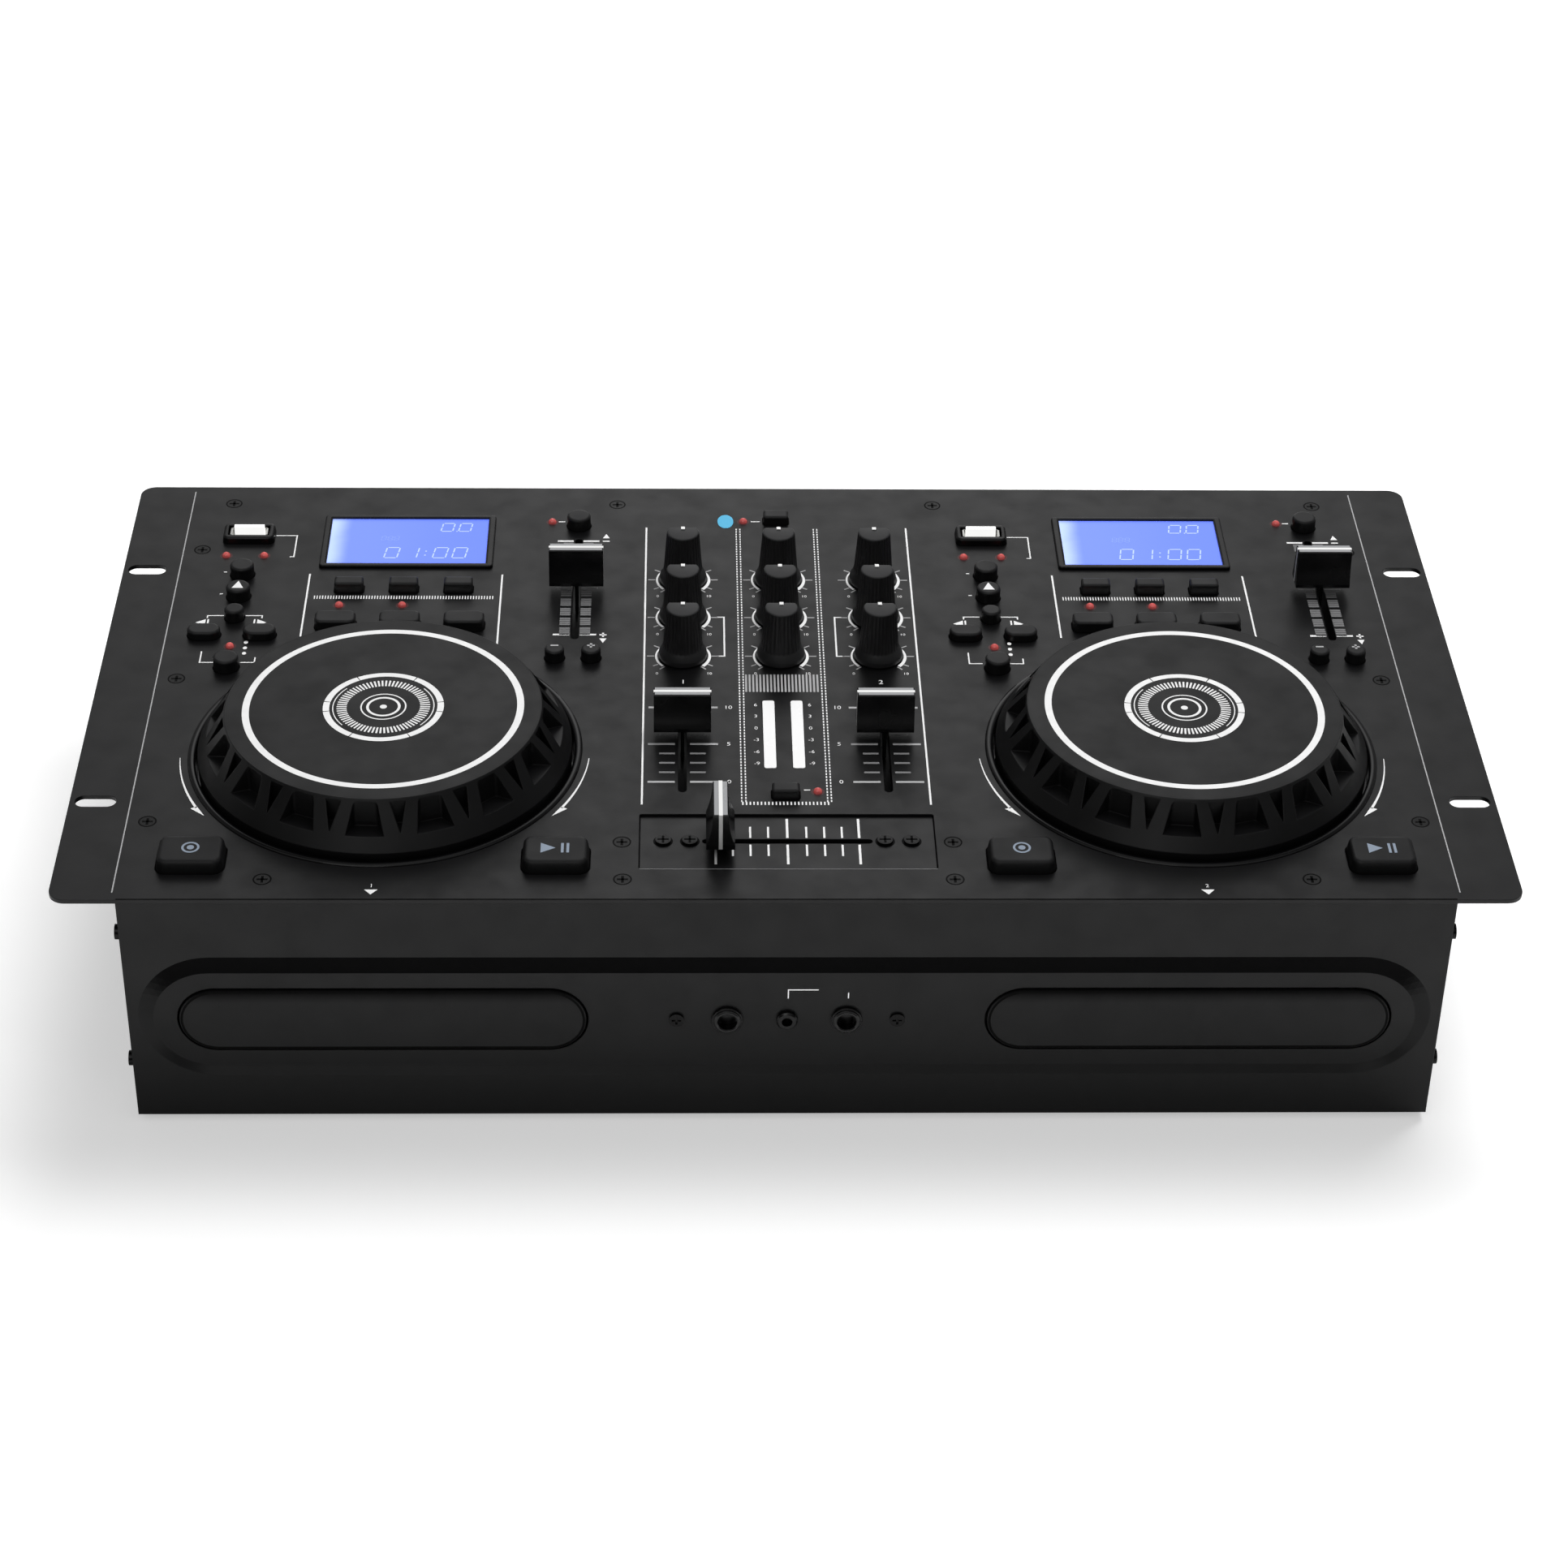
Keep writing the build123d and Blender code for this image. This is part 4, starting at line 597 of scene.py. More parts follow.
def floor_material():
    """A light matt floor, with a glow that the camera alone sees."""
    m = Nodes("studio_floor")
    shader = m.add("BsdfPrincipled", _Base_Color=(FLOOR_TONE, FLOOR_TONE, FLOOR_TONE, 1),
                   _Specular_IOR_Level=0.1)
    m.link(m.remap(m.noise(0.05), 0.3, 0.7, 0.75, 0.9), shader.inputs["Roughness"])
    lift = m.add("Emission")
    seen = m.add("LightPath").outputs["Is Camera Ray"]
    m.link(m.maths("MULTIPLY", seen, FLOOR_LIFT), lift.inputs["Strength"])
    both = m.add("AddShader")
    m.link(shader.outputs[0], both.inputs[0])
    m.link(lift.outputs[0], both.inputs[1])
    m.show(both)
    return m.material


bm = bmesh.new()
bmesh.ops.create_grid(bm, x_segments=1, y_segments=1, size=9.0)
floor_mesh = bpy.data.meshes.new("floor")
bm.to_mesh(floor_mesh)
bm.free()
floor_mesh.materials.append(floor_material())
floor = bpy.data.objects.new("floor", floor_mesh)
bpy.context.scene.collection.objects.link(floor)

# ------------------------------------------------------------------ materials of the CAD nodes
node_slot = {s["node"]: s["material_slot"] for s in frame["record"]["subparts"]}
for name, node in nodes.items():
    node.data.materials.clear()
    node.data.materials.append(MATS[node_slot[name]])

# ------------------------------------------------------------------ jog wheels
MIDDLE_ARCS = ((-8, 8), (9, 59), (60, 119), (120, 171), (172, 188), (189, 239), (240, 299), (300, 351))
for side in SIDES:
    rings = Flat(on_panel(DECK_X[side], 0, JOG_V), JOG_TOP_H + GAP, JOG_TOP_H + GAP + INK)
    rings.arc(0, 0, 46.75, 0, 360, 2.4, 240)
    for start, end in MIDDLE_ARCS:
        rings.arc(0, 0, 19.5, start, end, 2.2)
    for start in (-40, 140):
        rings.arc(0, 0, 17.2, start, start + 80, 0.35)
    for c, s in circle(72):
        rings.line([(12.5 * c, 12.5 * s), (15.9 * c, 15.9 * s)], 0.62)
    rings.arc(0, 0, 7.6, 0, 360, 0.5, 64)
    rings.arc(0, 0, 5.4, 0, 360, 0.9, 48)
    rings.oval(0, 0, 2.4, 2.4, 24)
    rings.make(f"jog_print_{side}", PRINT, f"jog_wheel_{side}", "jog_rubber")

# ------------------------------------------------------------------ glossy rings round the jog wheels
BEAD_R = 66.25
BEAD_HALF_W = 1.35
BEAD_H = 0.8
bead = [(BEAD_R + BEAD_HALF_W * math.cos(math.radians(a)), BEAD_H * math.sin(math.radians(a)))
        for a in range(0, 181, 15)]
well = [(64.9, -7.4), (10.0, -7.4), (10.0, -4.0), (4.05, -4.0), (4.05, -20.0), (10.0, -20.0),
        (10.0, -9.0), (66.0, -9.0), (66.0, 0.0)]
for side in SIDES:
    bm = revolve(bead + well + bead[:1], 180, on_panel(DECK_X[side], 0, JOG_V))
    ring = finish_mesh(f"well_ring_{side}", bm, MATS["well_gloss"], "console", 40)
    if side == "left":
        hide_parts("jog_wells")

# ------------------------------------------------------------------ knobs
# The ridge is the line between the knob's flat top and its slope, at y from the knob's middle.
KNOB_H = 20.9
KNOB_RIDGE = 2.8
KNOB_SLOPE = math.radians(52)
RIBS = 30
FLUTE = 0.24
POINTER_HALF_W = 0.75


def knob_mesh():
    """A fluted knob with a skirt, cut by the slope that carries its pointer.

    Each row is a radius, a height and the depth of the flutes there, from 0 to 1.
    """
    steps = RIBS * 6
    rows = [(8.6, 0.5, 0), (8.6, 2.0, 0), (8.5, 2.4, 0), (7.45, 4.5, 0), (7.3, 4.7, 0), (7.2, 5.0, 0.4),
            (7.13, 5.4, 1.0), (6.9, 7.7, 1.0), (6.55, 12.2, 1.0), (6.2, 16.8, 1.0), (5.98, 19.8, 1.0),
            (5.92, 20.2, 0.6), (5.86, 20.55, 0.1), (5.6, 20.83, 0), (5.3, KNOB_H, 0)]
    bm = bmesh.new()
    rings = []
    for r, h, ribbed in reversed(rows):
        ring = []
        for i in range(steps):
            a = 2 * math.pi * i / steps
            reach = (r - FLUTE * ribbed * (0.5 - 0.5 * math.cos(RIBS * a)) ** 0.7) * MM
            ring.append(bm.verts.new((reach * math.cos(a), reach * math.sin(a), h * MM)))
        rings.append(ring)
    for a, b in zip(rings, rings[1:]):
        for i in range(steps):
            j = (i + 1) % steps
            bm.faces.new((a[i], a[j], b[j], b[i]))
    bm.faces.new(rings[0])
    bm.faces.new(list(reversed(rings[-1])))
    cut = bmesh.ops.bisect_plane(bm, geom=bm.verts[:] + bm.edges[:] + bm.faces[:],
                                 plane_co=(0, KNOB_RIDGE * MM, KNOB_H * MM),
                                 plane_no=(0, math.sin(KNOB_SLOPE), math.cos(KNOB_SLOPE)), clear_outer=True)
    loop = [e for e in cut["geom_cut"] if isinstance(e, bmesh.types.BMEdge)]
    bmesh.ops.contextual_create(bm, geom=loop)
    return to_mesh("knob_body", bm, MATS["knob_plastic"], 35)


def pointer_mesh():
    """The white mark that wraps over the knob's ridge."""
    down = Vector((math.cos(KNOB_SLOPE), -math.sin(KNOB_SLOPE)))
    out = Vector((math.sin(KNOB_SLOPE), math.cos(KNOB_SLOPE)))
    bend = (out + Vector((0, 1))).normalized()
    ridge = Vector((KNOB_RIDGE, KNOB_H))
    low_end = ridge + down * 1.3
    lift = [Vector((1.3, KNOB_H + 0.3)), ridge + bend * 0.32, low_end + out * 0.3]
    sunk = [Vector((1.3, KNOB_H - 0.2)), ridge - bend * 0.2, low_end - out * 0.2]
    bm = bmesh.new()
    loops = [[bm.verts.new((x * MM, p.x * MM, p.y * MM)) for p in lift + sunk[::-1]]
             for x in (-POINTER_HALF_W, POINTER_HALF_W)]
    bm.faces.new(loops[0])
    bm.faces.new(reversed(loops[1]))
    count = len(loops[0])
    for i in range(count):
        j = (i + 1) % count
        bm.faces.new((loops[0][i], loops[0][j], loops[1][j], loops[1][i]))
    bmesh.ops.bevel(bm, geom=[e for e in bm.edges if abs(e.verts[0].co.x - e.verts[1].co.x) < 1e-6],
                    offset=0.05 * MM, segments=2, affect="EDGES")
    return to_mesh("knob_pointer", bm, INLAY)


knob_body = knob_mesh()
knob_mark = pointer_mesh()
for row, v in KNOB_V.items():
    for column, x in KNOB_X.items():
        body = f"knob_{column}_{row}"
        place = on_panel(x, 0, v)
        knob = put(f"knob_body_{column}_{row}", knob_body, body, place)
        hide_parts(f"knob_{column}_{row}")
        put(f"knob_pointer_{column}_{row}", knob_mark, body, place)

# ------------------------------------------------------------------ fader lines
LINE_W = 1.3
LINE_PROUD = 0.05
LINE_SUNK = 0.3
CAP_LONG = 19.8
CAP_HIGH = 13.8


def fader_line(name, body, along_x):
    """The white line over a cap's top and down both ends."""
    lo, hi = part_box(name)
    top = hi.z / MM
    x, y = (lo.x + hi.x) / 2 / MM, (lo.y + hi.y) / 2 / MM
    side, end, inner = LINE_W / 2, CAP_LONG / 2 + LINE_PROUD, CAP_LONG / 2 - LINE_SUNK
    bm = bmesh.new()
    for low, high, a, b in ((top - LINE_SUNK, top + LINE_PROUD, -end, end),
                            (top - CAP_HIGH, top - LINE_SUNK, -end, -inner),
                            (top - CAP_HIGH, top - LINE_SUNK, inner, end)):
        if along_x:
            block(bm, (x + a, y - side, low), (x + b, y + side, high))
        else:
            block(bm, (x - side, y + a, low), (x + side, y + b, high))
    finish_mesh(f"{name}_line", bm, INLAY, body)


for side in SIDES:
    fader_line(f"pitch_fader_{side}", f"pitch_fader_{side}", True)
    fader_line(f"channel_fader_{side}", f"channel_fader_{side}", True)
fader_line("crossfader", "crossfader", False)

# ------------------------------------------------------------------ printed marks on the panel
# The pitch of the dashes beside the level meters and of the ticks under them.
DASH = 1.75
TICK = 1.26
# Each tick beside a knob: its angle, its start and end from the knob's middle, and its width.
KNOB_TICKS = ((0, 10.2, 12.8, 0.55), (33, 10.0, 12.4, 0.5), (-31, 10.3, 12.4, 0.5), (-46, 9.4, 11.8, 0.55))
METER_V = {"6": 112.8, "3": 105.8, "0": 98.5, "-3": 91.4, "-6": 84.2, "-9": 77.2}

white = Flat(on_panel())
grey = Flat(on_panel())
dim = Flat(on_panel())
for x in (-220.7, 220.5):
    grey.line([(x, 4.0), (x, 256.5)], 0.42)
for x in (-48.8, 49.0):
    white.line([(x, 53.1), (x, 231.4)], 0.65)
for x in (-15.0, -13.6, 14.1, 15.4):
    for i in range(101):
        v = 54.6 + DASH * i
        white.bar(x - 0.23, v, x + 0.23, v + 1.1)
for i in range(24):
    x = -14.9 + TICK * i
    white.bar(x, 52.9, x + 0.5, 54.7)
for i in range(21):
    x = -12.6 + 25.3 * i / 20
    grey.bar(x - 0.34, 121.0, x + 0.34, 132.0)
for x in KNOB_X.values():
    for v in KNOB_V.values():
        white.arc(x, v, 9.6, 143, 222, [0.5, 0.95])
        white.arc(x, v, 9.6, 37, -42, [0.6, 1.35])
        for sign in (-1, 1):
            for angle, start, end, width in KNOB_TICKS:
                c, s = math.cos(math.radians(angle)), math.sin(math.radians(angle))
                grey.line([(x + sign * start * c, v + start * s), (x + sign * end * c, v + end * s)], width)
        white.text("0", x - 9.2, v - 11.2, 1.5)
        white.text("10", x + 9.4, v - 11.2, 1.5)
for sign in (-1, 1):
    bracket = [(22.6, 169.4), (20.1, 169.4), (20.1, 143.8), (22.6, 143.8)]
    white.line([(sign * x, v) for x, v in bracket], 0.6)
    for v in CHANNEL_V.values():
        for a, b in ((-11.9, -2.6), (2.6, 12.3)):
            grey.bar(sign * CHANNEL_X + a, v - 0.55, sign * CHANNEL_X + b, v + 0.55)
    for i in (1, 2, 3, 5, 6, 7):
        v = CHANNEL_V["0"] + (CHANNEL_V["10"] - CHANNEL_V["0"]) * i / 8
        for a, b in ((-8.0, -2.6), (2.6, 8.0)):
            dim.bar(sign * CHANNEL_X + a, v - 0.5, sign * CHANNEL_X + b, v + 0.5)
    for number, v in CHANNEL_V.items():
        white.text(number, sign * 19.1, v, 2.2)
    for number, v in METER_V.items():
        white.text(number, sign * 9.5, v, 1.9)
white.text("1", -34.9, 127.2, 2.6)
white.text("2", 35.2, 127.2, 2.6)
white.bar(6.2, 61.3, 8.4, 61.8)
white.bar(-9.4, 235.6, -6.0, 236.1)


def deck_marks(deck_x, number):
    """One deck's prints, at u from the middle of its jog wheel."""
    def at(points):
        return [(deck_x + u, v) for u, v in points]

    def bar(tone, u0, v0, u1, v1):
        tone.bar(deck_x + u0, v0, deck_x + u1, v1)

    for u, low, high in ((-35.4, 156.1, 198.2), (35.4, 150.5, 198.0)):
        white.line(at([(u, low), (u, high)]), 0.65)
    for i in range(66):
        bar(white, i - 32.7, 181.2, i - 32.3, 183.4)
    white.line(at([(-50.2, 225.0), (-42.4, 225.0), (-42.4, 210.1), (-43.9, 210.1)]), 0.5)
    for v in (199.4, 184.4):
        bar(white, -67.2, v - 0.25, -66.0, v + 0.25)

    # Brackets and arrows round the search keys and the jog mode button.
    white.line(at([(-70.0, 168.2), (-70.0, 169.8), (-64.1, 169.8)]), 0.5)
    white.line(at([(-56.3, 169.8), (-50.3, 169.8), (-50.3, 168.2)]), 0.5)
    bar(white, -69.8, 163.2, -69.2, 167.4)
    white.poly(at([(-74.0, 165.3), (-70.4, 163.2), (-70.4, 167.4)]))
    bar(white, -53.1, 163.2, -52.5, 167.4)
    white.poly(at([(-48.4, 165.3), (-51.8, 167.4), (-51.8, 163.2)]))
    white.line(at([(-69.7, 146.3), (-69.7, 139.2), (-64.9, 139.2)]), 0.5)
    white.line(at([(-55.3, 139.2), (-50.3, 139.2), (-50.3, 142.5)]), 0.5)
    for v in (152.2, 148.6, 145.1):
        white.oval(deck_x - 54.5, v, 1.5, 1.8, 20)
    bar(white, 55.2, 235.1, 57.6, 235.7)

    # The pitch fader's scale, with a plus and a minus at its ends.
    for v, tone in ((221.6, white), (PITCH_MID_V, grey), (157.7, white)):
        for a, b in ((55.2, 61.1), (64.8, 70.8)):
            bar(tone, a, v - 0.5, b, v + 0.5)
    for i in range(-24, 25):
        if i % 5:
            v = PITCH_MID_V + PITCH_STEP * i
            for a, b in ((57.4, 61.2), (64.8, 68.6)):
                bar(dim, a, v - 0.5, b, v + 0.5)
    white.poly(at([(72.0, 223.7), (74.6, 223.7), (73.3, 226.7)]))
    bar(white, 72.0, 221.2, 74.6, 221.9)
    bar(white, 72.0, 157.2, 74.6, 157.9)
    bar(white, 72.95, 156.2, 73.65, 158.9)
    white.poly(at([(72.0, 155.2), (73.3, 152.2), (74.6, 155.2)]))

    # Two curved arrows outside the well, the mark in front of it and the three keys' numbers.
    for start, end, turn in ((184, 209, 1), (-4, -29, -1)):
        white.arc(deck_x, JOG_V, 70.1, start, end, [0.25, 0.9], 30)
        tip, base = math.radians(end + 4.6 * turn), math.radians(end - 0.4 * turn)
        white.poly(at([(r * math.cos(a), JOG_V + r * math.sin(a))
                       for r, a in ((69.8, tip), (72.0, base), (69.6, base))][::turn]))
    white.poly(at([(-1.8, 5.6), (0.4, 2.9), (2.6, 5.6)]))
    white.text(number, deck_x + 0.4, 7.6, 1.9)
    for i, u in enumerate((-20.2, -0.2, 19.8)):
        white.text(str(i + 1), deck_x + u, 193.6, 1.5)


deck_marks(DECK_X["left"], "1")
deck_marks(DECK_X["right"], "2")
white.make("panel_print_white", PRINT)
grey.make("panel_print_grey", PRINT_GREY)
dim.make("panel_print_dim", PRINT_DIM)
Flat(on_panel(), 0.004, 0.08).oval(-19.0, 235.8, 6.0, 9.6).make("wireless_badge", PRINT_BLUE)

plate = Flat(on_panel(0, PLATE_H))
for x in (-24.0, -18.3, -12.4, -6.4, 0, 6.4, 12.4, 18.3, 24.0):
    long = x in (-24.0, 0, 24.0)
    half, low, high = (0.42, 20.6, 46.1) if long else (0.34, 25.2, 41.6)
    plate.bar(x - half, low, x + half, 31.5)
    plate.bar(x - half, 35.3, x + half, high)
# Painted highlight: a thin light line where the crossfader pocket's front edge catches the light.
lip = Flat(on_panel(), 0.002, 0.03)
lip.bar(-49.3, 16.7, 49.3, 16.95)
lip.make("pocket_edge_highlight", PRINT_DIM)
plate.make("crossfader_print", PRINT, slot="plate_paint")

front = Flat(on_front(FASCIA_FACE_V))
front.line([(0.3, -43.6), (0.3, -40.0), (10.4, -40.0)], 0.35)
front.line([(20.4, -41.2), (20.4, -43.6)], 0.35)
front.make("front_print", PRINT_FRONT_GLOWING, slot="case_paint")

# ------------------------------------------------------------------ painted shade round and in the screws' heads
PANEL_SCREWS = ((213.8, 43.3), (213.8, 128.9), (213.8, 214.9), (205.3, 248.0), (60.0, 248.0),
                (172.6, 11.2), (54.7, 11.2), (55.2, 31.8))
PLATE_SCREWS_X = (-41.5, -32.6, 32.6, 41.5)


def cross(flat, x, v, reach, half_w):
    """A painted dark cross, for the shade in the cross slot of a screw's head."""
    flat.bar(x - reach, v - half_w, x + reach, v + half_w)
    flat.bar(x - half_w, v - reach, x + half_w, v + reach)


# Painted shade: dark rings round the panel screws' countersinks and dark crosses in their slots.
edges = Flat(on_panel(), *SHADE)
for sign in (-1, 1):
    for x, v in PANEL_SCREWS:
        edges.arc(sign * x, v, 2.85, 0, 360, 0.5, 40)
        cross(edges, sign * x, v, 1.8, 0.45)
# Painted shade: a dark line along the panel's front edge, for the shadow where it meets the fascia.
edges.bar(-219.0, 0.1, 219.0, 0.7)
edges.make("screw_shade", PAINTED_SHADE, slot="screw_black")
# Painted shade round the plate screws' heads and in their cross slots.
rim_shades = Flat(on_panel(0, PLATE_H))
# Lighter faces on the plate screws' heads, partly a painted sheen.
faces = Flat(on_panel())
slot_shades = Flat(on_panel(0, 0.04))
for x in PLATE_SCREWS_X:
    rim_shades.arc(x, CROSSFADER_V, 2.95, 0, 360, 0.7, 40)
    faces.oval(x, CROSSFADER_V, 4.4, 4.4)
    cross(slot_shades, x, CROSSFADER_V, 1.9, 0.4)
rim_shades.make("plate_screw_rim_shades", PAINTED_SHADE, slot="screw_black")
faces.make("plate_screw_sheen_faces", SCREW_FACE_SHEEN, slot="screw_black")
slot_shades.make("plate_screw_slot_shades", PAINTED_SHADE, slot="screw_black")

# ------------------------------------------------------------------ painted shade round the tray fronts
TRAY_SHADE_IN = 0.85
for side in SIDES:
    lo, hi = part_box(f"tray_front_{side}")
    edge = Flat(on_front(lo.y / MM - FRONT_Y), GAP, 0.03)
    half_w = (hi.x - lo.x) / 2 / MM - TRAY_SHADE_IN
    r = (hi.z - lo.z) / 2 / MM - TRAY_SHADE_IN
    mid_h = (lo.z + hi.z) / 2 / MM - PANEL_Z
    outline = [(TRAY_X[side] + end * (half_w - r) + r * math.cos(math.radians(a)),
                mid_h + r * math.sin(math.radians(a)))
               for end, start in ((1, -90), (-1, 90)) for a in range(start, start + 181, 6)]
    edge.line(outline, 0.8, closed=True)
    edge.make(f"tray_shade_{side}", PAINTED_SHADE, f"tray_{side}", "tray_front_plastic")

# ------------------------------------------------------------------ painted glow: dark red rings round the LEDs
DECK_LEDS = ((-67.4, 210.7), (-53.4, 210.7), (-60.0, 149.6), (-23.1, 176.9), (-0.2, 176.9), (52.8, 235.1))
MIXER_LEDS = ((-12.3, 235.8), (10.9, 60.6))
halos = Flat(on_panel(), *SHADE)
for x, v in [(DECK_X[side] + u, v) for side in SIDES for u, v in DECK_LEDS] + list(MIXER_LEDS):
    halos.arc(x, v, 1.95, 0, 360, 0.7, 36)
halos.make("led_halos", HALO, slot="led_red")

# ------------------------------------------------------------------ marks on the keys
def on_top(node, deck_x):
    """A plane on a node's top, whose x is measured from the middle of a deck."""
    return on_panel(deck_x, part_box(node)[1].z / MM - PANEL_Z)


for side, deck_x in DECK_X.items():
    mark = Flat(on_top(f"pitch_bend_keys_{side}", deck_x))
    mark.bar(54.9, 143.4, 57.7, 144.2)
    mark.bar(67.9, 143.4, 70.7, 144.2)
    mark.bar(68.9, 142.4, 69.7, 145.2)
    mark.make(f"pitch_bend_marks_{side}", PRINT_GREY, f"pitch_bend_keys_{side}", "key_plastic")
for side, deck_x in DECK_X.items():
    mark = Flat(on_top(f"eject_button_{side}", deck_x))
    mark.poly([(-62.2, 181.0), (-58.0, 181.0), (-60.1, 185.8)])
    mark.make(f"eject_mark_{side}", PRINT, f"eject_button_{side}", "key_plastic")
    mark = Flat(on_top(f"play_button_{side}", deck_x))
    mark.poly([(55.3, 19.8), (60.2, 22.5), (55.3, 25.2)])
    mark.bar(62.0, 19.9, 62.9, 25.1)
    mark.bar(63.8, 19.9, 64.7, 25.1)
    mark.make(f"play_mark_{side}", PRINT_KEY, f"play_button_{side}", "transport_key")
    mark = Flat(on_top(f"cue_button_{side}", deck_x))
    mark.arc(-59.8, 22.7, 2.6, 0, 360, 0.75, 40)
    mark.oval(-59.8, 22.7, 2.4, 2.4, 24)
    mark.make(f"cue_mark_{side}", PRINT_KEY, f"cue_button_{side}", "transport_key")

# ------------------------------------------------------------------ displays
DISPLAY_U = -0.45
IMAGE_H = (0.405, 0.47)
FIGURE_H = (0.475, 0.50)
EDGE_H = (0.5, 1.15)
LEAN = 0.14
SEGMENTS = {"0": "abcdef", "1": "bc", "8": "abcdefg"}
STROKES = {"a": (0, 2, 1, 2), "b": (1, 2, 1, 1), "c": (1, 1, 1, 0), "d": (0, 0, 1, 0), "e": (0, 1, 0, 0),
           "f": (0, 2, 0, 1), "g": (0, 1, 1, 1)}


def digits(flat, text, x, y, width, height, stroke):
    """Seven-segment figures, leaning a little."""
    for char in text:
        if char == ".":
            flat.bar(x - stroke * 1.6, y - stroke / 2, x - stroke * 0.6, y + stroke / 2)
            continue
        for segment in SEGMENTS[char]:
            x0, y0, x1, y1 = STROKES[segment]
            a = Vector((x + x0 * width, y + y0 * height / 2))
            b = Vector((x + x1 * width, y + y1 * height / 2))
            step = (b - a).normalized() * stroke * 0.7
            flat.line([(p.x + (p.y - y) * LEAN, p.y) for p in (a + step, b - step)], stroke)
        x += width * 1.5


def screen_material():
    """A display lit from behind, paler at its left end."""
    m = Nodes("screen_image")
    shader = m.add("BsdfPrincipled", _Roughness=0.22, _Specular_IOR_Level=0.1, _Emission_Strength=0.55)
    generated = m.add("TexCoord").outputs["Generated"]
    flow = m.add("TexNoise", _Scale=3.0, _Detail=2.0)
    m.link(generated, flow.inputs["Vector"])
    x = m.maths("ADD", m.part(generated, "X"), m.maths("MULTIPLY", flow.outputs["Fac"], 0.05))
    body = m.mix(m.remap(x, 0.15, 1.0, smooth=True), linear((110, 132, 238)), linear((101, 124, 236)))
    hot = m.remap(x, 0.02, 0.16, 1.0, 0.0, smooth=True)
    body = m.mix(hot, body, linear((172, 192, 240)))
    edge_y = m.maths("ABSOLUTE", m.maths("SUBTRACT", m.part(generated, "Y"), 0.5))
    body = m.mix(m.remap(edge_y, 0.42, 0.5, 0.0, 0.35, smooth=True), body, linear((80, 104, 230)))
    m.link(body, shader.inputs["Base Color"])
    m.link(body, shader.inputs["Emission Color"])
    m.show(shader)
    return m.material


SCREEN = screen_material()
SEGMENT = surface("screen_segments", (176, 194, 255), rough=0.4, spec=0.1, bump=0.0, blotch=0.03,
                  blotch_size=0.003, soft=THIN_EDGE, glow=0.45)
FAINT = surface("screen_faint", (136, 160, 255), rough=0.4, spec=0.1, bump=0.0, blotch=0.03,
                blotch_size=0.003, soft=THIN_EDGE, glow=0.3)
for side, deck_x in DECK_X.items():
    place = on_panel(deck_x + DISPLAY_U)
    image = Flat(place, *IMAGE_H).bar(-29.4, 204.1, 29.4, 236.3)
    image.make(f"display_image_{side}", SCREEN, slot="screen_window")
    figures = Flat(place, *FIGURE_H)
    digits(figures, "0.0", 11.6, 227.6, 4.4, 5.6, 0.5)
    digits(figures, "01", -8.6, 208.8, 4.8, 7.2, 0.5)
    digits(figures, "00", 9.4, 208.8, 4.8, 7.2, 0.5)
    figures.bar(6.3, 210.4, 6.9, 211.0)
    figures.bar(6.6, 213.2, 7.2, 213.8)
    figures.make(f"display_figures_{side}", SEGMENT, slot="screen_window")
    faint = Flat(place, *FIGURE_H)
    digits(faint, "888", -10.4, 221.0, 1.6, 3.0, 0.3)
    faint.make(f"display_faint_{side}", FAINT, slot="screen_window")
    edge = Flat(place, *EDGE_H)
    edge.line([(-29.6, 203.9), (29.6, 203.9), (29.6, 236.5), (-29.6, 236.5)], 0.35, closed=True)
    edge.make(f"display_edge_{side}", MATS["bezel_plastic"], slot="bezel_plastic")

# ------------------------------------------------------------------ sockets
USB_PLACE = (-60.1, 224.5)
PHONO_X = (-158.5, -141.5)
PHONO_Z = (43.5, 60.5)
MAINS_PLACE = (120.0, 48.0)


def socket_piece(name, bm, material, smooth=None):
    return finish_mesh(name, bm, material, "console", smooth)


def blocks(corners, place, edge):
    """Boxes between pairs of corners, as one bmesh."""
    bm = bmesh.new()
    for lo, hi in corners:
        block(bm, lo, hi, place, edge)
    return bm


for x, name in ((-20.0, "microphone"), (20.0, "phones")):
    place = on_front(FASCIA_FACE_V, x, FRONT_LINE_H)
    bm = revolve([(3.25, 1.8), (4.55, 1.8), (4.75, 1.65), (4.75, 1.2), (5.15, 1.2), (5.3, 1.0), (5.3, 0.0),
                  (4.5, 0.0), (4.5, -1.5), (3.25, -1.5)], 48, place)
    block(bm, (-7.5, -7.5, -27.5), (7.5, 7.5, -1.5), place, 0.4)
    socket_piece(f"{name}_jack", bm, MATS["socket_body"], 35)
    bm = revolve([(3.24, 1.6), (3.24, -22.0), (0, -22.0)], 32, place)
    socket_piece(f"{name}_jack_bore", bm, MATS["well_gloss"], 35)
    bm = revolve([(3.3, 1.78), (3.6, 2.0), (4.1, 2.0), (4.4, 1.78)], 48, place)
    socket_piece(f"{name}_jack_ring", bm, MATS["rocker_plastic"], 35)
place = on_front(FASCIA_FACE_V, 0, FRONT_LINE_H)
bm = revolve([(1.8, 1.8), (3.0, 1.8), (3.2, 1.6), (3.6, 1.2), (3.6, 0.0), (2.8, 0.0), (2.8, -1.5),
              (1.8, -1.5)], 40, place)
block(bm, (-5.5, -5.5, -15.5), (5.5, 5.5, -1.5), place, 0.4)
socket_piece("mini_jack", bm, MATS["socket_body"], 35)
bm = revolve([(1.79, 1.6), (1.79, -10.0), (0, -10.0)], 24, place)
socket_piece("mini_jack_bore", bm, MATS["well_gloss"], 35)

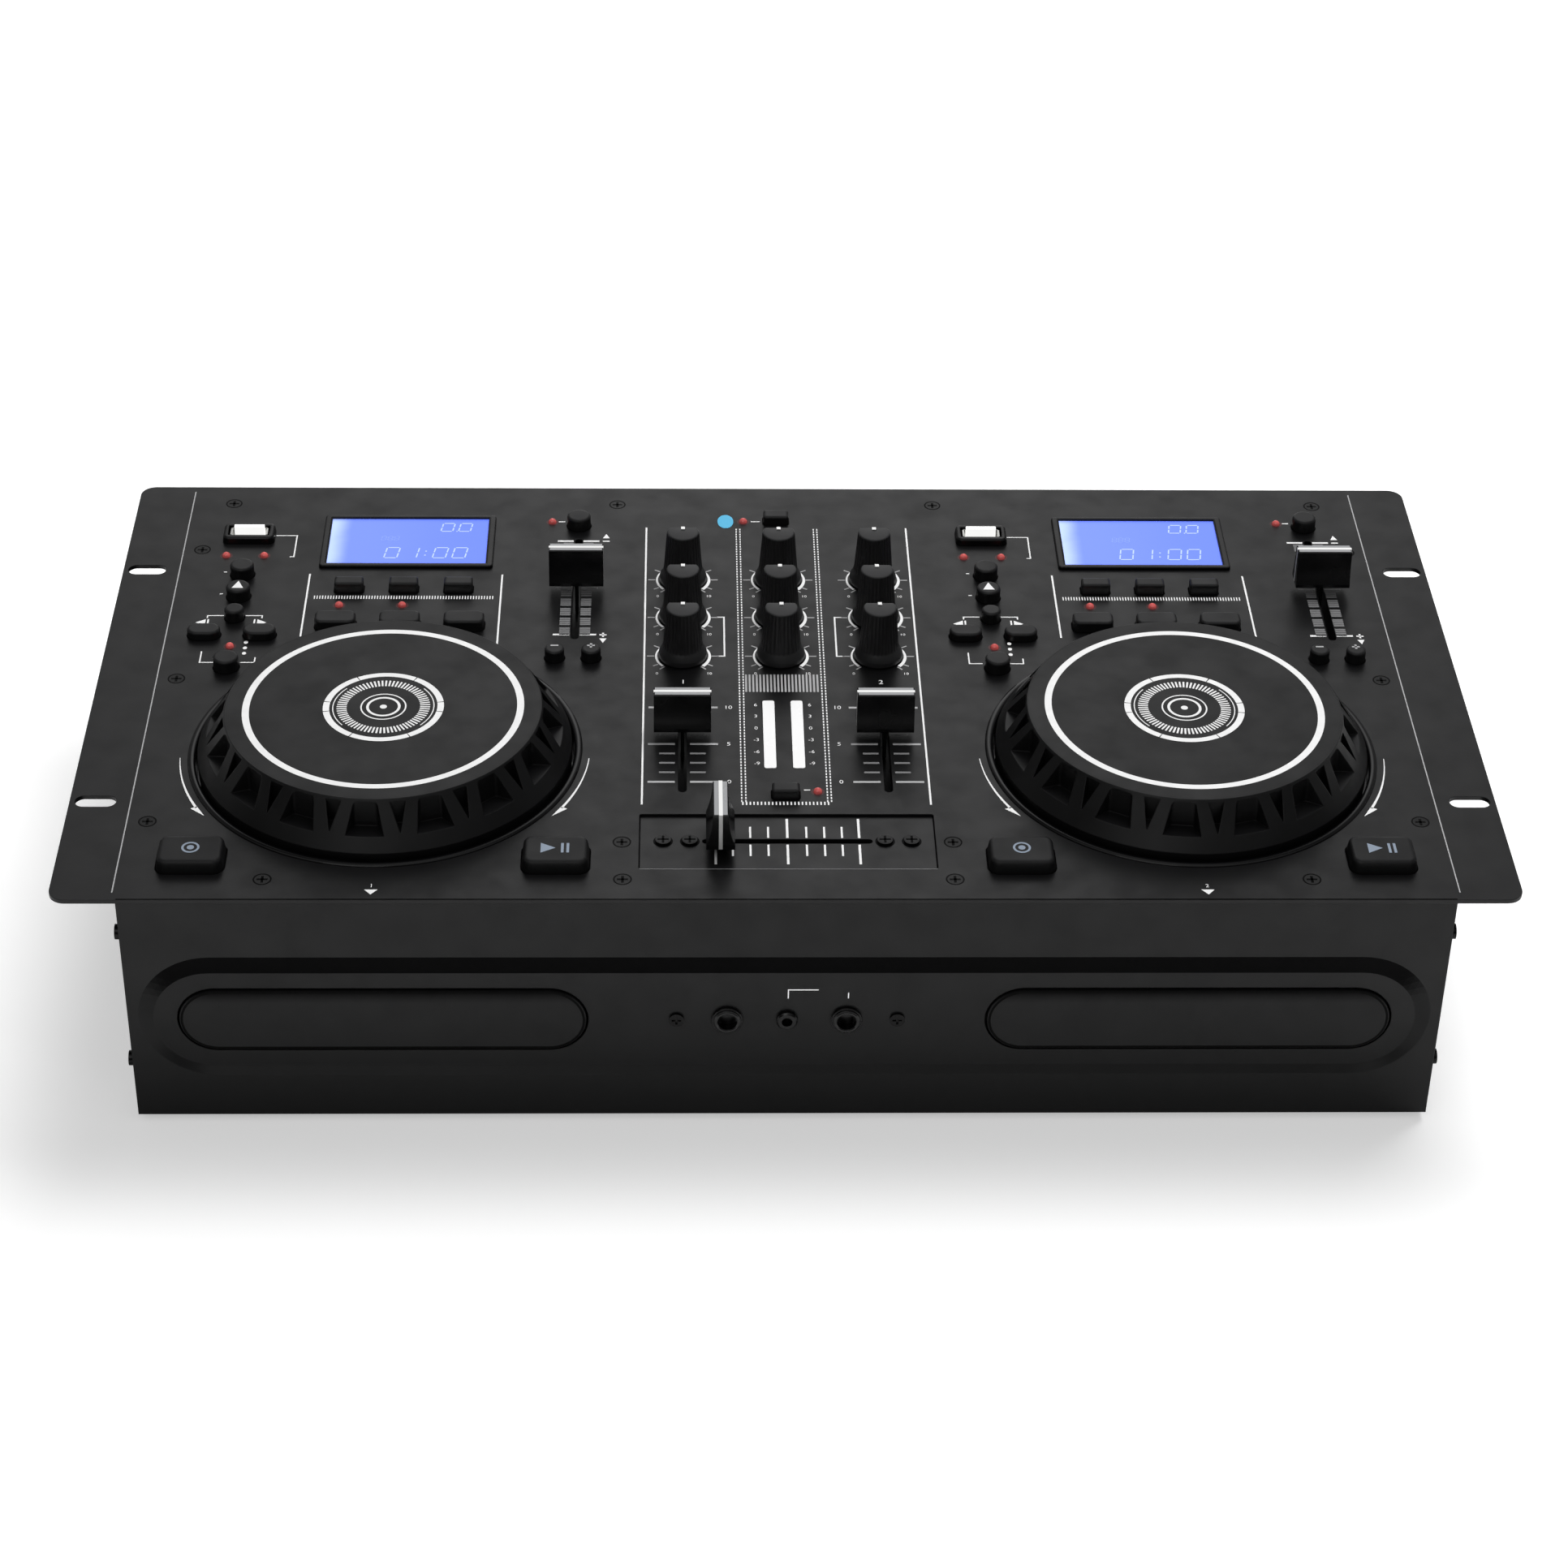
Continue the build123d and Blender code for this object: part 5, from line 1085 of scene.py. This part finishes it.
for side, deck_x in DECK_X.items():
    place = on_panel(deck_x + USB_PLACE[0], 0, USB_PLACE[1])
    shell = (((-6.6, 2.5, -10.9), (6.6, 2.9, 2.2)), ((-6.6, -2.5, -10.9), (-6.2, 2.5, 2.2)),
             ((6.2, -2.5, -10.9), (6.6, 2.5, 2.2)), ((-6.2, -2.5, -10.9), (6.2, 2.5, -9.9)),
             ((-6.95, -2.2, 1.7), (-6.2, 2.2, 2.21)), ((6.2, -2.2, 1.7), (6.95, 2.2, 2.21)))
    socket_piece(f"usb_shell_{side}", blocks(shell, place, 0.06), STEEL)
    wall = (((-6.6, -2.9, -10.9), (6.6, -2.5, 2.2)),)
    socket_piece(f"usb_wall_{side}", blocks(wall, place, 0.06), MATS["bezel_plastic"])
    tongue = (((-5.6, 0.55, -9.9), (5.6, 2.45, 3.7)),)
    socket_piece(f"usb_tongue_{side}", blocks(tongue, place, 0.15), WHITE_GLOWING)
    contacts = [((x - 0.5, 0.5, -8.0), (x + 0.5, 0.57, -1.0)) for x in (-3.5, -1.2, 1.2, 3.5)]
    socket_piece(f"usb_contacts_{side}", blocks(contacts, place, 0.02), BRASS)

for i, (x, z) in enumerate([(x, z) for x in PHONO_X for z in PHONO_Z]):
    place = on_rear(x, z)
    bm = revolve([(3.3, 8.0), (4.0, 8.0), (4.15, 7.85), (4.15, 1.2), (5.9, 1.2), (6.0, 1.1), (6.0, 0.0),
                  (5.0, 0.0), (5.0, -7.0), (0, -7.0), (0, 0.5), (3.3, 0.5)], 40, place)
    socket_piece(f"phono_shell_{i + 1}", bm, STEEL, 35)
    bm = revolve([(1.7, 7.9), (3.25, 7.9), (3.25, 0.6), (1.7, 0.6)], 32, place)
    socket_piece(f"phono_insulator_{i + 1}", bm, RED_RING if z == PHONO_Z[0] else WHITE_GLOWING, 35)

place = on_rear(*MAINS_PLACE)
inlet = (((-15.3, -11.7, 0.0), (15.3, -8.3, 2.0)), ((-15.3, 8.3, 0.0), (15.3, 11.7, 2.0)),
         ((-15.3, -8.3, 0.0), (-12.2, 8.3, 2.0)), ((12.2, -8.3, 0.0), (15.3, 8.3, 2.0)),
         ((-13.5, -9.9, -16.0), (13.5, -8.3, 0.0)), ((-13.5, 8.3, -16.0), (13.5, 9.9, 0.0)),
         ((-13.5, -8.3, -16.0), (-12.2, 8.3, 0.0)), ((12.2, -8.3, -16.0), (13.5, 8.3, 0.0)),
         ((-13.5, -8.3, -16.0), (13.5, 8.3, -14.0)))
socket_piece("mains_inlet", blocks(inlet, place, 0.15), MATS["socket_body"])
pins = [((x - 1.0, y - 2.0, -14.0), (x + 1.0, y + 2.0, -1.0))
        for x, y in ((-7.0, -1.9), (0.0, -3.8), (7.0, -1.9))]
socket_piece("mains_pins", blocks(pins, place, 0.3), STEEL)
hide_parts("panel_sockets")
